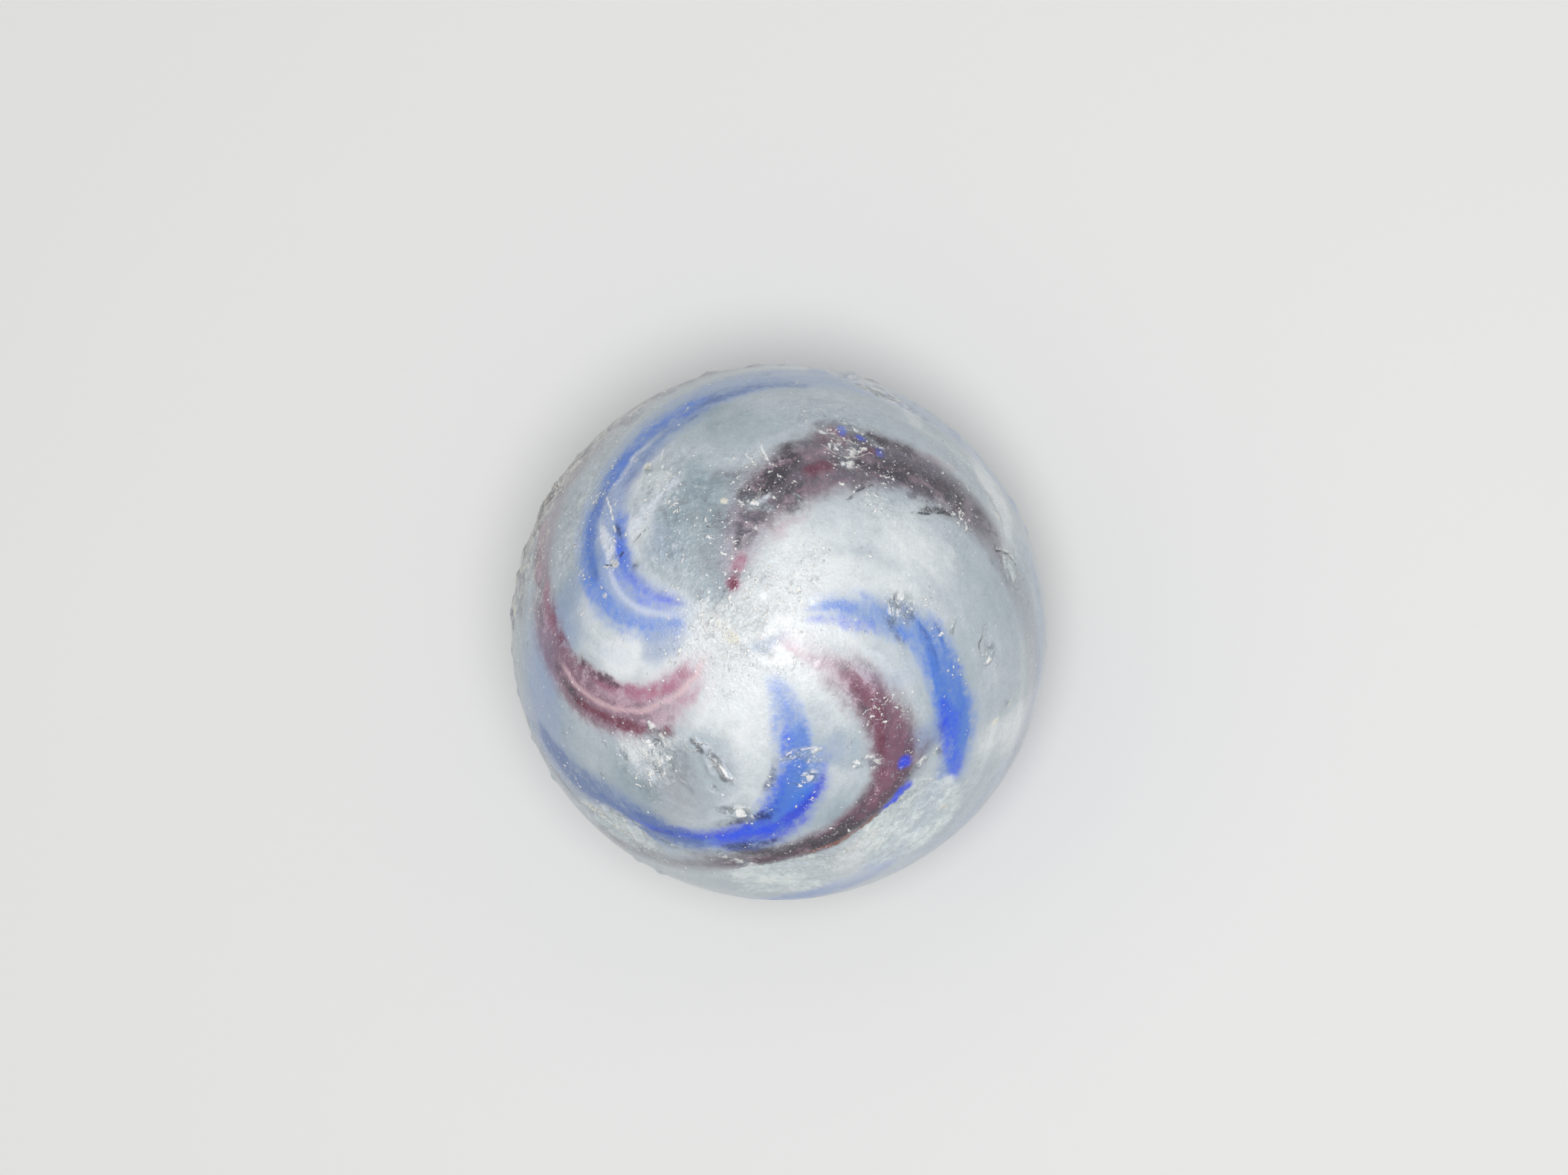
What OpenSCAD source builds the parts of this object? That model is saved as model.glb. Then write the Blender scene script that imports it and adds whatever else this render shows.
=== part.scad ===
// Hand-made swirl marble: a ball of milk glass with three blue and three amethyst bands that twist
// from pole to pole. The glass was worked as one rod, twisted, and sheared off at both poles, so the
// coloured bands are inlaid flush with the ball. Wear has left shell-shaped flakes and small bruises.
// The origin is the ball's centre and +Z is the axis of the twist.

/* [Ball] */
// Diameter of the marble
marble_d = 16; // [12:0.5:30]
// Diameter of the scar where the rod was sheared off at each pole
scar_d = 2; // [1:0.1:2.6]
// Depth of each pole's scar
scar_depth = 0.08; // [0.03:0.01:0.15]
// Height of the bead of glass left in the middle of each scar
scar_bead = 0.04; // [0.01:0.01:0.06]

/* [Bands] */
// How deep a band lies in the milk glass at the ball's waist
band_depth = 1.1; // [0.4:0.1:2.5]
// Widths of the three blue bands where they are widest
blue_widths = [1.9, 1.5, 1.4]; // [0.6:0.1:2.2]
// Widths of the three amethyst bands where they are widest
amethyst_widths = [1.9, 1.5, 2.5]; // [0.6:0.1:2.6]
// Extra twist of the whole rod from one pole to the other, in degrees
extra_twist = 0; // [-90:5:180]
// Share of a band's full depth that is left at its tip near a pole
tip_share = 0.35; // [0.2:0.05:0.8]
// Stretch over which a band grows to its full depth, in degrees from its tip
tip_run = 16; // [8:1:30]

/* [Flakes] */
// Width of the largest flake, knocked off low on one side
flake_w = 4.6; // [2:0.1:5.5]
// Depth of the largest flake
flake_depth = 0.5; // [0.36:0.02:0.8]
// Distance from crest to crest of the ripples in a flake
ripple_pitch = 0.55; // [0.3:0.05:1]
// Height of a ripple from trough to crest
ripple_h = 0.05; // [0.02:0.01:0.1]
// Width of a bruise, the small round hollow that a light blow leaves
bruise_w = 1.1; // [0.5:0.1:1.6]
// Depth of a bruise
bruise_depth = 0.1; // [0.04:0.01:0.2]

/* [Hidden] */
$fn = 96;
ball_r = marble_d / 2;

// Where each band runs: the turn about the axis at which its middle crosses these parallels. A
// parallel is given by its fall, the angle from the near pole, and both are in degrees.
falls = [11, 25, 40, 50, 60, 90, 166];
blue_courses = [
    [104, 97, 74, 51, 30, -38, -185],
    [234, 226, 214, 196, 158, 82, -68],
    [299, 293, 283, 270, 256, 190, 48],
];
amethyst_courses = [
    [160, 153, 130, 106, 80, 5, -145],
    [268, 262, 252, 237, 192, 135, -10],
    [378, 367, 351, 339, 322, 260, 108],
];
// How wide each band is at those parallels, as a share of its greatest width
blue_swells = [
    [0.5, 1, 0.88, 0.9, 0.9, 1, 0.4],
    [0.35, 0.6, 1, 0.8, 0.5, 0.8, 0.4],
    [0.35, 0.62, 0.85, 1, 0.8, 0.85, 0.4],
];
amethyst_swells = [
    [0.4, 0.88, 0.95, 0.75, 0.6, 0.75, 0.35],
    [0.35, 0.65, 1, 0.85, 0.5, 0.8, 0.4],
    [0.2, 0.7, 0.95, 1, 0.85, 0.6, 0.3],
];
stations = 44;
section_steps = 6;
dish_steps = 6;
// How far a band's blank stands out of the ball before it is cut flush
blank_rise = 0.3;
blank_reach = 1.2;
// How far a cutting body stands out of the ball
overcut = 1;

// Flakes: [turn, fall, width and depth as shares of the largest, turn of the blow round its rim]
flakes = [
    [236, 66, 1, 1, 200],
    [203, 68, 0.84, 0.8, 20],
    [164, 65, 0.66, 0.55, 90],
    [302, 71, 0.52, 0.4, 0],
];
// Bruises: [turn, fall, width as a share of bruise_w]
bruises = [
    [165, 34, 1.5],
    [293, 36, 1.2],
    [82, 31, 0.6],
    [12, 26, 1],
    [348, 46, 1],
    [322, 75, 1.2],
    [222, 37, 0.7],
    [196, 43, 0.9],
    [241, 43, 0.8],
    [283, 59, 0.8],
    [100, 56, 1],
    [50, 66, 0.9],
    [75, 70, 0.8],
    [188, 31, 0.9],
];
// A blow's place in its flake, and the level of the rippled floor, as shares of the half width and depth
blow_offset = 0.62;
floor_share = 0.7;

// The drop of a ball's surface at a distance from the point where it is highest
function sagitta(r, reach) = r - sqrt(r * r - reach * reach);

// The leg of a course on which a fall lies
function leg(fall, i = 0) = i >= len(falls) - 2 || fall < falls[i + 1] ? i : leg(fall, i + 1);

// How fast a course turns where it crosses a parallel
function turn_rate(course, i) = let(a = max(i - 1, 0), b = min(i + 1, len(falls) - 1))
    (course[b] - course[a]) / (falls[b] - falls[a]);

// The turn of a band's middle at any fall: a smooth curve through its course
function turn_at(course, fall) = let(
        i = leg(fall),
        span = falls[i + 1] - falls[i],
        t = (fall - falls[i]) / span,
        a = course[i],
        b = course[i + 1],
        rate_a = turn_rate(course, i) * span,
        rate_b = turn_rate(course, i + 1) * span)
    a + t * (rate_a + t * (3 * (b - a) - 2 * rate_a - rate_b + t * (rate_a + rate_b - 2 * (b - a))))
    - extra_twist * (1 - cos(fall)) / 2;

// How much of a course's turn is gained for each degree of fall, worked out over a short step
function slant(course, fall) = let(step = 0.5)
    (turn_at(course, fall + step) - turn_at(course, fall - step)) / (2 * step);

// A band's width round the axis, in degrees of turn, from its true width across its own run
function turn_width(course, swell, width, fall) = let(
        share = lookup(fall, [for (i = [0 : len(falls) - 1]) [falls[i], swell[i]]]),
        run = slant(course, fall) * sin(fall))
    width * share * sqrt(1 + run * run) / (ball_r * sin(fall)) * 180 / PI;

// The share of its full depth that a band has at a fall: less towards its tips
function fullness(fall) = let(t = min(fall - falls[0], falls[len(falls) - 1] - fall) / tip_run)
    tip_share + (1 - tip_share) * sin(90 * min(t, 1));

// A point given by its turn, its fall and its distance from the ball's centre
function on_ball(turn, fall, r) =
    r * [sin(fall) * cos(turn), sin(fall) * sin(turn), cos(fall)];

// One cross-section of a band's blank: half an ellipse in the glass, closed outside the ball
function band_section(course, swell, width, fall) = let(
        turn = turn_at(course, fall),
        full = fullness(fall),
        half = turn_width(course, swell, width, fall) / 2,
        deep = blank_rise + band_depth * full * sqrt(sin(fall)))
    concat(
        [for (k = [0 : section_steps]) let(a = 180 * k / section_steps)
            on_ball(turn - half * cos(a), fall, ball_r + blank_rise - deep * sin(a))],
        [for (side = [1, 0, -1]) on_ball(turn + side * half, fall, ball_r * blank_reach)]);

// A band's blank: its sections joined from the near pole to the far one
module band_blank(course, swell, width) {
    first = falls[0];
    last = falls[len(falls) - 1];
    sections = [for (i = [0 : stations])
        band_section(course, swell, width, first + (last - first) * i / stations)];
    n = len(sections[0]);
    points = [for (s = sections) each s];
    sides = [for (i = [0 : stations - 1], k = [0 : n - 1]) let(
            a = i * n + k,
            b = i * n + (k + 1) % n)
        each [[a, b + n, b], [a, a + n, b + n]]];
    near_end = [[for (k = [0 : n - 1]) k]];
    far_end = [[for (k = [n - 1 : -1 : 0]) stations * n + k]];
    polyhedron(points, concat(near_end, sides, far_end), convexity = 10);
}

// All bands of one glass, before they are cut flush
module band_blanks(courses, swells, widths) {
    for (i = [0 : len(courses) - 1]) band_blank(courses[i], swells[i], widths[i]);
}

// Puts its children on the ball's surface, with their +Z outwards
module at_surface(turn, fall) rotate([0, fall, turn]) children();

// The hollow that a blow leaves, cut as part of a large sphere
module hollow(width, depth) {
    lift = depth - sagitta(ball_r, width / 2);
    hollow_r = (width * width / 4 + lift * lift) / (2 * lift);
    translate([0, 0, ball_r - depth + hollow_r]) sphere(r = hollow_r);
}

// A body whose underside is ringed with ripples, like the inside of a shell
module ripples(reach, low) {
    steps = ceil(reach / ripple_pitch) * 4;
    underside = [for (i = [0 : steps]) let(r = reach * i / steps)
        [r, low + ripple_h / 2 * (1 - cos(360 * r / ripple_pitch))]];
    rotate_extrude() polygon(concat(underside, [[reach, ball_r + overcut], [0, ball_r + overcut]]));
}

// One flake: a hollow whose floor carries ripples that spread from the blow at its rim
module flake(width, depth, blow) {
    off = width / 2 * blow_offset;
    intersection() {
        hollow(width, depth);
        rotate(blow) translate([off, 0, 0]) ripples(width, ball_r - depth * floor_share);
    }
}

// A shallow hollow with no ripples
module bruise(width) {
    depth = bruise_depth + sagitta(ball_r, width / 2);
    hollow(width, depth);
}

// The scar at a pole: a shallow dish with the last bead of the sheared rod in its middle
module scar() {
    r = scar_d / 2;
    floor_z = ball_r - sagitta(ball_r, r) - scar_depth;
    dish = [for (i = [0 : dish_steps]) let(t = i / dish_steps)
        [r * t, floor_z + scar_bead * pow(cos(90 * t), 2) + scar_depth * pow(t, 4)]];
    rotate_extrude() polygon(concat(dish, [[r, ball_r + overcut], [0, ball_r + overcut]]));
}

// The whole marble as one ball of glass, with its scars and its wear
module marble() {
    difference() {
        sphere(d = marble_d);
        for (pole = [0, 180]) at_surface(0, pole) scar();
        for (f = flakes) at_surface(f[0], f[1]) flake(flake_w * f[2], flake_depth * f[3], f[4]);
        for (b = bruises) at_surface(b[0], b[1]) bruise(bruise_w * b[2]);
    }
}

module milk_glass_ball() {
    color("#cfd8dc") difference() {
        marble();
        band_blanks(blue_courses, blue_swells, blue_widths);
        band_blanks(amethyst_courses, amethyst_swells, amethyst_widths);
    }
}

module blue_bands() {
    color("#3f6be0") intersection() {
        marble();
        band_blanks(blue_courses, blue_swells, blue_widths);
    }
}

module amethyst_bands() {
    color("#6e3a55") intersection() {
        marble();
        band_blanks(amethyst_courses, amethyst_swells, amethyst_widths);
    }
}

milk_glass_ball();
blue_bands();
amethyst_bands();
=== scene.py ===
"""Looks of a hand-made swirl marble: milk glass with blue and amethyst bands, frosted by wear.

Places on the ball are given by two angles in degrees: the turn about the twist axis, and the fall
from the near pole. Lengths are in millimetres until a mesh or a light is made, which Blender has
in metres.
"""

import logging
import math
from dataclasses import dataclass
from enum import Enum
from functools import cached_property
from typing import Callable, Sequence

import bpy
import numpy as np
from mathutils import Matrix, Vector


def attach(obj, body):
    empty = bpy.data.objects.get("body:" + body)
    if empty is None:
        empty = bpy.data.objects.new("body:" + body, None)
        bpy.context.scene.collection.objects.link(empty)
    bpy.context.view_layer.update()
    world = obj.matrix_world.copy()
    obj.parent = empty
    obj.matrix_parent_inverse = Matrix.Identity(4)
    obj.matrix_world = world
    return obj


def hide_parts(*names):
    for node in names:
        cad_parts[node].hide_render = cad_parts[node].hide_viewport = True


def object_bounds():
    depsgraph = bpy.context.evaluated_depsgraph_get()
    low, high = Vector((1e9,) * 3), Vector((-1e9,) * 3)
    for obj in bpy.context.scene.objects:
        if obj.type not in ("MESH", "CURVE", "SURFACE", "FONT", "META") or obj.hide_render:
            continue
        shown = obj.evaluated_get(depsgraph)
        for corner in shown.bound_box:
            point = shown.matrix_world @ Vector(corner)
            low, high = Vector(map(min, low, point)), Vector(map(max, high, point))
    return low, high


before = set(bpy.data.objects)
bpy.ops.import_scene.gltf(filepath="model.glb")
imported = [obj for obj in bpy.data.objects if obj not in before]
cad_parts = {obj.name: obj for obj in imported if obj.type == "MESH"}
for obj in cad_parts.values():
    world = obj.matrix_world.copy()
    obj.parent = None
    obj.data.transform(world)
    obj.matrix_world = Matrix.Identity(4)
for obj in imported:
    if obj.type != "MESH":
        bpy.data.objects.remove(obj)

CAD_BOX = [list(corner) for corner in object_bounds()]
MM = 0.001
BALL_R = (CAD_BOX[1][0] - CAD_BOX[0][0]) / 2 / MM
DEGREE = math.pi / 180
ARC_MM = BALL_R * DEGREE  # length on the surface of one degree of a great circle

log = logging.getLogger("marble")
Array = np.ndarray


# ---------------------------------------------------------------- shaping by numbers

HASH_STEPS = (374761393, 668265263, 2147483629, 1274126177)
HASH_BITS = 0xFFFFFFFF


def lattice_value(cells: Array, seed: int) -> Array:
    """A fixed random number from 0 to 1 for each lattice cell.

    Args:
        cells: whole-number cell places, one row each.
        seed: which of the random fields is meant.

    Returns:
        One number for each row.
    """
    mixed = (cells.astype(np.int64) * np.array(HASH_STEPS[:3])).sum(1) + seed * HASH_STEPS[3]
    mixed &= HASH_BITS
    mixed = ((mixed ^ (mixed >> 13)) * HASH_STEPS[3]) & HASH_BITS
    mixed = ((mixed ^ (mixed >> 16)) * HASH_STEPS[0]) & HASH_BITS
    return (mixed ^ (mixed >> 15)) / HASH_BITS


def cloud_noise(points: Array, size: float, seed: int, octaves: int = 1) -> Array:
    """Smooth random values from 0 to 1 over space.

    Args:
        points: places in millimetres, one row each.
        size: distance over which the value changes, in millimetres.
        seed: which of the random fields is meant.
        octaves: how many ever finer layers are summed.

    Returns:
        One value for each point.
    """
    total = np.zeros(len(points))
    weight_sum = 0.0
    for octave in range(octaves):
        scaled = points * (2**octave / size) + 100 * (octave + 1)
        low = np.floor(scaled)
        part = scaled - low
        part = part * part * (3 - 2 * part)
        value = np.zeros(len(points))
        for corner in np.ndindex(2, 2, 2):
            share = np.prod(np.where(corner, part, 1 - part), axis=1)
            value += share * lattice_value(low + corner, seed + 17 * octave)
        weight = 0.5**octave
        total += weight * value
        weight_sum += weight
    return total / weight_sum


def smooth_step(value: Array, low: float, high: float) -> Array:
    """0 below low, 1 above high, and a smooth rise between."""
    t = np.clip((value - low) / (high - low), 0, 1)
    return t * t * (3 - 2 * t)


def direction(turn: float, fall: float) -> Array:
    """Finds which way a place on the ball lies.

    Args:
        turn: the place's turn.
        fall: the place's fall.

    Returns:
        The unit vector from the ball's centre to it.
    """
    turn, fall = turn * DEGREE, fall * DEGREE
    off_axis = math.sin(fall)
    return np.array([off_axis * math.cos(turn), off_axis * math.sin(turn), math.cos(fall)])


def sagitta(width: float) -> float:
    """The drop of the ball's surface from the middle to the edge of a circle of that width."""
    return BALL_R - math.sqrt(BALL_R**2 - width**2 / 4)


@dataclass(frozen=True)
class Skin:
    """The unworn surface: a direction for each vertex, with its two angles."""

    dirs: Array
    turn: Array
    fall: Array

    @staticmethod
    def of(dirs: Array) -> "Skin":
        """Finds the two angles of each direction.

        Args:
            dirs: unit vectors from the ball's centre, one row each.

        Returns:
            The skin whose vertices lie in these directions.
        """
        turn = np.degrees(np.arctan2(dirs[:, 1], dirs[:, 0])) % 360
        fall = np.degrees(np.arccos(np.clip(dirs[:, 2], -1, 1)))
        return Skin(dirs, turn, fall)

    def drifted(self, size: float, reach: float) -> "Skin":
        """Reads the vertices a little to one side, so that the edges of marks on them wander.

        Args:
            size: distance over which the drift changes, in millimetres.
            reach: the longest drift, in millimetres.

        Returns:
            A skin whose angles are those of the places that the vertices are read at.
        """
        points = self.dirs * BALL_R
        push = np.stack([cloud_noise(points, size, 50 + axis, 3) - 0.5 for axis in range(3)], -1)
        moved = points + 2 * reach * push
        return Skin.of(moved / np.linalg.norm(moved, axis=1)[:, None])

    def local(self, turn: float, fall: float, spin: float = 0.0) -> tuple[Array, Array, Array]:
        """Places in a frame that stands on the surface.

        Args:
            turn: the turn of the frame's origin.
            fall: the fall of the frame's origin.
            spin: turns the frame about its outward axis, in degrees.

        Returns:
            Millimetres along the frame's first and second axes, and the cosine to its outward axis.
        """
        out = direction(turn, fall)
        down = direction(turn, fall + 90)
        side = np.cross(out, down)
        first = math.cos(spin * DEGREE) * down + math.sin(spin * DEGREE) * side
        second = np.cross(out, first)
        return self.dirs @ first * BALL_R, self.dirs @ second * BALL_R, self.dirs @ out


# ---------------------------------------------------------------- bands of coloured glass


class Glass(Enum):
    """The two coloured glasses."""

    BLUE = "blue"
    AMETHYST = "amethyst"


@dataclass(frozen=True)
class Stations:
    """Values that a band has at some falls, joined smoothly or by straight lines."""

    falls: tuple[float, ...]
    values: tuple[float, ...]

    def smooth(self, fall: Array) -> tuple[Array, Array]:
        """A smooth curve through the values.

        Args:
            fall: falls in degrees.

        Returns:
            The value at each fall, and how fast it changes for each degree of fall.
        """
        x = np.array(self.falls, float)
        y = np.array(self.values, float)
        low = np.maximum(np.arange(len(x)) - 1, 0)
        high = np.minimum(np.arange(len(x)) + 1, len(x) - 1)
        rate = (y[high] - y[low]) / (x[high] - x[low])
        i = np.clip(np.searchsorted(x, fall, side="right") - 1, 0, len(x) - 2)
        span = x[i + 1] - x[i]
        t = np.clip((fall - x[i]) / span, -0.6, 1.6)
        a, b, ra, rb = y[i], y[i + 1], rate[i] * span, rate[i + 1] * span
        bend, twist = 3 * (b - a) - 2 * ra - rb, ra + rb - 2 * (b - a)
        return a + t * (ra + t * (bend + t * twist)), (ra + t * (2 * bend + 3 * t * twist)) / span

    def straight(self, fall: Array) -> Array:
        """The value at each fall, on straight lines between the stations."""
        return np.interp(fall, self.falls, self.values)


def across(skin: Skin, course: Stations) -> Array:
    """The distance of each vertex from a line that runs from pole to pole.

    Args:
        skin: the unworn surface.
        course: the turn of the line at each fall.

    Returns:
        Millimetres across the line's own run, more than 0 on the side of the greater turn.
    """
    middle, rate = course.smooth(skin.fall)
    away = (skin.turn - middle + 180) % 360 - 180
    sine = np.sin(skin.fall * DEGREE)
    return away * sine * ARC_MM / np.sqrt(1 + (rate * sine) ** 2)


@dataclass(frozen=True)
class Band:
    """One strip of coloured glass, from pole to pole.

    Attributes:
        glass: which glass it is made of.
        course: the turn of its middle.
        half_width: half its width across its own run, in millimetres.
        tone: 0 where the glass is thin and pale, 1 where it is thick and deep.
        hold: how much of the milk glass it hides, from 0 to 1.
    """

    glass: Glass
    course: Stations
    half_width: Stations
    tone: Stations
    hold: Stations

    def inside(self, skin: Skin) -> Array:
        """How far each vertex lies inside the band's edge, in millimetres, less than 0 outside."""
        return self.half_width.straight(skin.fall) - np.abs(across(skin, self.course))


@dataclass(frozen=True)
class Vein:
    """A pale thread that lies in a band.

    Attributes:
        course: the turn of its middle.
        half_width: half its width, in millimetres.
        show: how plainly it shows, from 0 to 1.
    """

    course: Stations
    half_width: Stations
    show: Stations

    def offset(self, skin: Skin) -> Array:
        """The distance of each vertex from the thread's middle, in half widths, with its sign."""
        return across(skin, self.course) / self.half_width.straight(skin.fall)


COURSE_FALLS = (11, 25, 40, 50, 60, 90, 166)

BANDS = (
    Band(
        Glass.BLUE,
        Stations(COURSE_FALLS, (104, 97, 74, 51, 30, -38, -185)),
        Stations(
            (8, 14, 25, 33, 40, 50, 60, 90, 166),
            (0.4, 0.55, 0.9, 0.9, 0.8, 0.85, 0.85, 0.95, 0.4),
        ),
        Stations(
            (8, 14, 25, 34, 42, 50, 60, 75, 100),
            (0.05, 0.15, 0.25, 0.25, 0.15, 0.1, 0.15, 0.2, 0.5),
        ),
        Stations(
            (7, 12, 20, 30, 37, 45, 60, 68, 80, 98, 112),
            (0, 0.4, 0.6, 0.7, 0.55, 0.5, 0.5, 0.4, 0.2, 0.3, 0.9),
        ),
    ),
    Band(
        Glass.BLUE,
        Stations(COURSE_FALLS, (234, 226, 214, 196, 158, 82, -68)),
        Stations((14, 25, 35, 41, 50, 56, 90, 166), (0.3, 0.45, 0.72, 0.75, 0.6, 0.4, 0.6, 0.3)),
        Stations(
            (16, 25, 31, 36, 41, 50, 56, 75, 100),
            (0.05, 0.2, 0.45, 0.5, 0.85, 0.95, 0.6, 0.3, 0.6),
        ),
        Stations(
            (13, 18, 25, 40, 52, 57, 64, 78, 95),
            (0, 0.55, 0.85, 1, 0.9, 0.4, 0.14, 0.1, 0.9),
        ),
    ),
    Band(
        Glass.BLUE,
        Stations(COURSE_FALLS, (299, 293, 283, 270, 256, 190, 48)),
        Stations((14, 25, 35, 42, 50, 60, 90, 166), (0.25, 0.42, 0.5, 0.62, 0.68, 0.55, 0.6, 0.3)),
        Stations((16, 25, 35, 45, 52, 58, 75, 100), (0.05, 0.2, 0.15, 0.25, 0.55, 0.55, 0.3, 0.6)),
        Stations((14, 21, 28, 60, 66, 75, 95), (0, 0.6, 0.9, 1, 0.4, 0.3, 0.9)),
    ),
    Band(
        Glass.AMETHYST,
        Stations(COURSE_FALLS, (160, 153, 130, 106, 80, 5, -145)),
        Stations(
            (10, 15, 25, 35, 42, 50, 60, 90, 166),
            (0.35, 0.55, 0.82, 0.9, 0.85, 0.7, 0.55, 0.7, 0.35),
        ),
        Stations((10, 18, 28, 40, 50, 60, 75, 100), (0.0, 0.1, 0.3, 0.5, 0.5, 0.45, 0.5, 0.7)),
        Stations(
            (7, 14, 22, 30, 42, 50, 58, 66, 84, 100),
            (0, 0.4, 0.65, 0.85, 0.9, 0.7, 0.4, 0.2, 0.2, 0.9),
        ),
    ),
    Band(
        Glass.AMETHYST,
        Stations(COURSE_FALLS, (268, 262, 252, 237, 192, 135, -10)),
        Stations(
            (10, 22, 32, 41, 50, 56, 64, 90, 166),
            (0.28, 0.46, 0.64, 0.76, 0.64, 0.46, 0.25, 0.6, 0.3),
        ),
        Stations((10, 22, 32, 45, 50, 54, 75, 100), (0.1, 0.3, 0.5, 0.6, 0.6, 1, 0.7, 0.7)),
        Stations((8, 12, 18, 23, 30, 58, 66, 84, 100), (0, 0.25, 0.2, 0.6, 0.9, 1, 0.4, 0.2, 0.9)),
    ),
    Band(
        Glass.AMETHYST,
        Stations(COURSE_FALLS, (378, 367, 351, 339, 322, 260, 108)),
        Stations(
            (7, 12, 20, 30, 40, 50, 60, 66, 90, 166),
            (0.15, 0.4, 0.7, 1.0, 1.1, 1.1, 0.85, 0.6, 0.6, 0.35),
        ),
        Stations(
            (7, 13, 20, 30, 40, 50, 60, 75, 100),
            (0.0, 0.1, 0.4, 0.8, 0.8, 0.9, 0.9, 0.8, 0.7),
        ),
        Stations(
            (5, 8, 13, 18, 24, 32, 58, 66, 71, 98, 112),
            (0, 0.5, 0.45, 0.4, 0.6, 0.78, 0.72, 0.5, 0.2, 0.05, 0.9),
        ),
    ),
)

SWIRL = Stations(COURSE_FALLS, (1, -6, -29, -52, -73, -141, -288))
STREAK_PULL = 0.22  # how fast the fine lines change along the swirl, as a share of across it


def streaks(skin: Skin) -> Array:
    """Draws fine lines along the swirl, as glass that was pulled out and twisted has them.

    Args:
        skin: the unworn surface.

    Returns:
        A random value from 0 to 1 for each vertex, which changes slowly along the swirl.
    """
    middle, _ = SWIRL.smooth(skin.fall)
    turned = (skin.turn - middle) * DEGREE
    falls = np.arange(181.0)
    run = np.cumsum(np.hypot(1, SWIRL.smooth(falls)[1] * np.sin(falls * DEGREE)))
    along = np.interp(skin.fall, falls, run) * ARC_MM * STREAK_PULL
    laid_out = np.stack([np.cos(turned) * BALL_R, np.sin(turned) * BALL_R, along], -1)
    return cloud_noise(laid_out, 0.8, 61, 4)


VEIN_REACH = 4  # half widths to either side of the thread in which its distance is told apart
VEIN = Vein(
    Stations((10, 15, 20, 25, 29, 31, 35), (104, 102.5, 101, 96, 89.5, 86, 79)),
    Stations((10, 20, 30, 35), (0.09, 0.12, 0.13, 0.12)),
    Stations((10, 14, 30, 34), (0, 0.85, 0.9, 0)),
)


# ---------------------------------------------------------------- milk glass and its clouds


def fade(reach: Array, soft: float) -> Array:
    """1 where the reach is small, and nothing past 1 and half of the soft share."""
    return 1 - smooth_step(reach, 1 - soft, 1 + soft / 2)


@dataclass(frozen=True)
class Patch:
    """A soft oval place on the surface.

    Attributes:
        turn: the turn of its middle.
        fall: the fall of its middle.
        along: half its length, in millimetres.
        across: half its breadth, in millimetres.
        spin: the angle of its length to the line from pole to pole.
        amount: how strong it is at its middle.
        soft: share of its reach over which it fades.
    """

    turn: float
    fall: float
    along: float
    across: float
    spin: float
    amount: float
    soft: float = 0.85

    def weight(self, skin: Skin) -> Array:
        """Finds how strong the patch is, fading towards its edge.

        Args:
            skin: the unworn surface.

        Returns:
            The patch's strength at each vertex.
        """
        a, b, out = skin.local(self.turn, self.fall, self.spin)
        reach = np.sqrt((a / self.along) ** 2 + (b / self.across) ** 2)
        return np.where(out > 0, self.amount * fade(reach, self.soft), 0)


FAR_OFF = 9.0  # a reach at which nothing is left of a strand


@dataclass(frozen=True)
class Stroke:
    """A soft strand drawn along a path.

    Attributes:
        amount: how strong it is along its middle.
        path: the turn, the fall and half the breadth in millimetres at each of its knots.
        soft: share of its breadth over which it fades.
    """

    amount: float
    path: tuple[tuple[float, float, float], ...]
    soft: float = 0.8

    def weight(self, skin: Skin) -> Array:
        """Finds how strong the strand is, fading at both of its ends.

        Args:
            skin: the unworn surface.

        Returns:
            The strand's strength at each vertex.
        """
        reach = np.full(len(skin.dirs), FAR_OFF)
        place = np.zeros(len(skin.dirs))
        length = 0.0
        for (turn_a, fall_a, half_a), (turn_b, fall_b, half_b) in zip(self.path, self.path[1:]):
            a, b = direction(turn_a, fall_a), direction(turn_b, fall_b)
            leg = float(np.linalg.norm(b - a))
            t = np.clip((skin.dirs - a) @ (b - a) / leg**2, 0, 1)
            near = a + t[:, None] * (b - a)
            near /= np.linalg.norm(near, axis=1)[:, None]
            half = half_a + (half_b - half_a) * t
            away = np.linalg.norm(skin.dirs - near, axis=1) * BALL_R / half
            place = np.where(away < reach, length + leg * BALL_R * t, place)
            reach = np.minimum(reach, away)
            length += leg * BALL_R
        run = min(0.6, length / 3)
        ends = smooth_step(np.minimum(place, length - place), -0.3 * run, run)
        return self.amount * ends * fade(reach, self.soft)


# How white the milk glass is at each fall from the pole. The high values near the pole are partly
# painted glare, standing in for the lamp's highlight and sparkle there.
WHITENESS_AND_POLE_GLARE = Stations(
    (0, 8, 15, 25, 38, 52, 70, 84, 90),
    (0.92, 0.95, 0.85, 0.6, 0.42, 0.15, 0.15, 0.3, 0.3),
)

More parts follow.
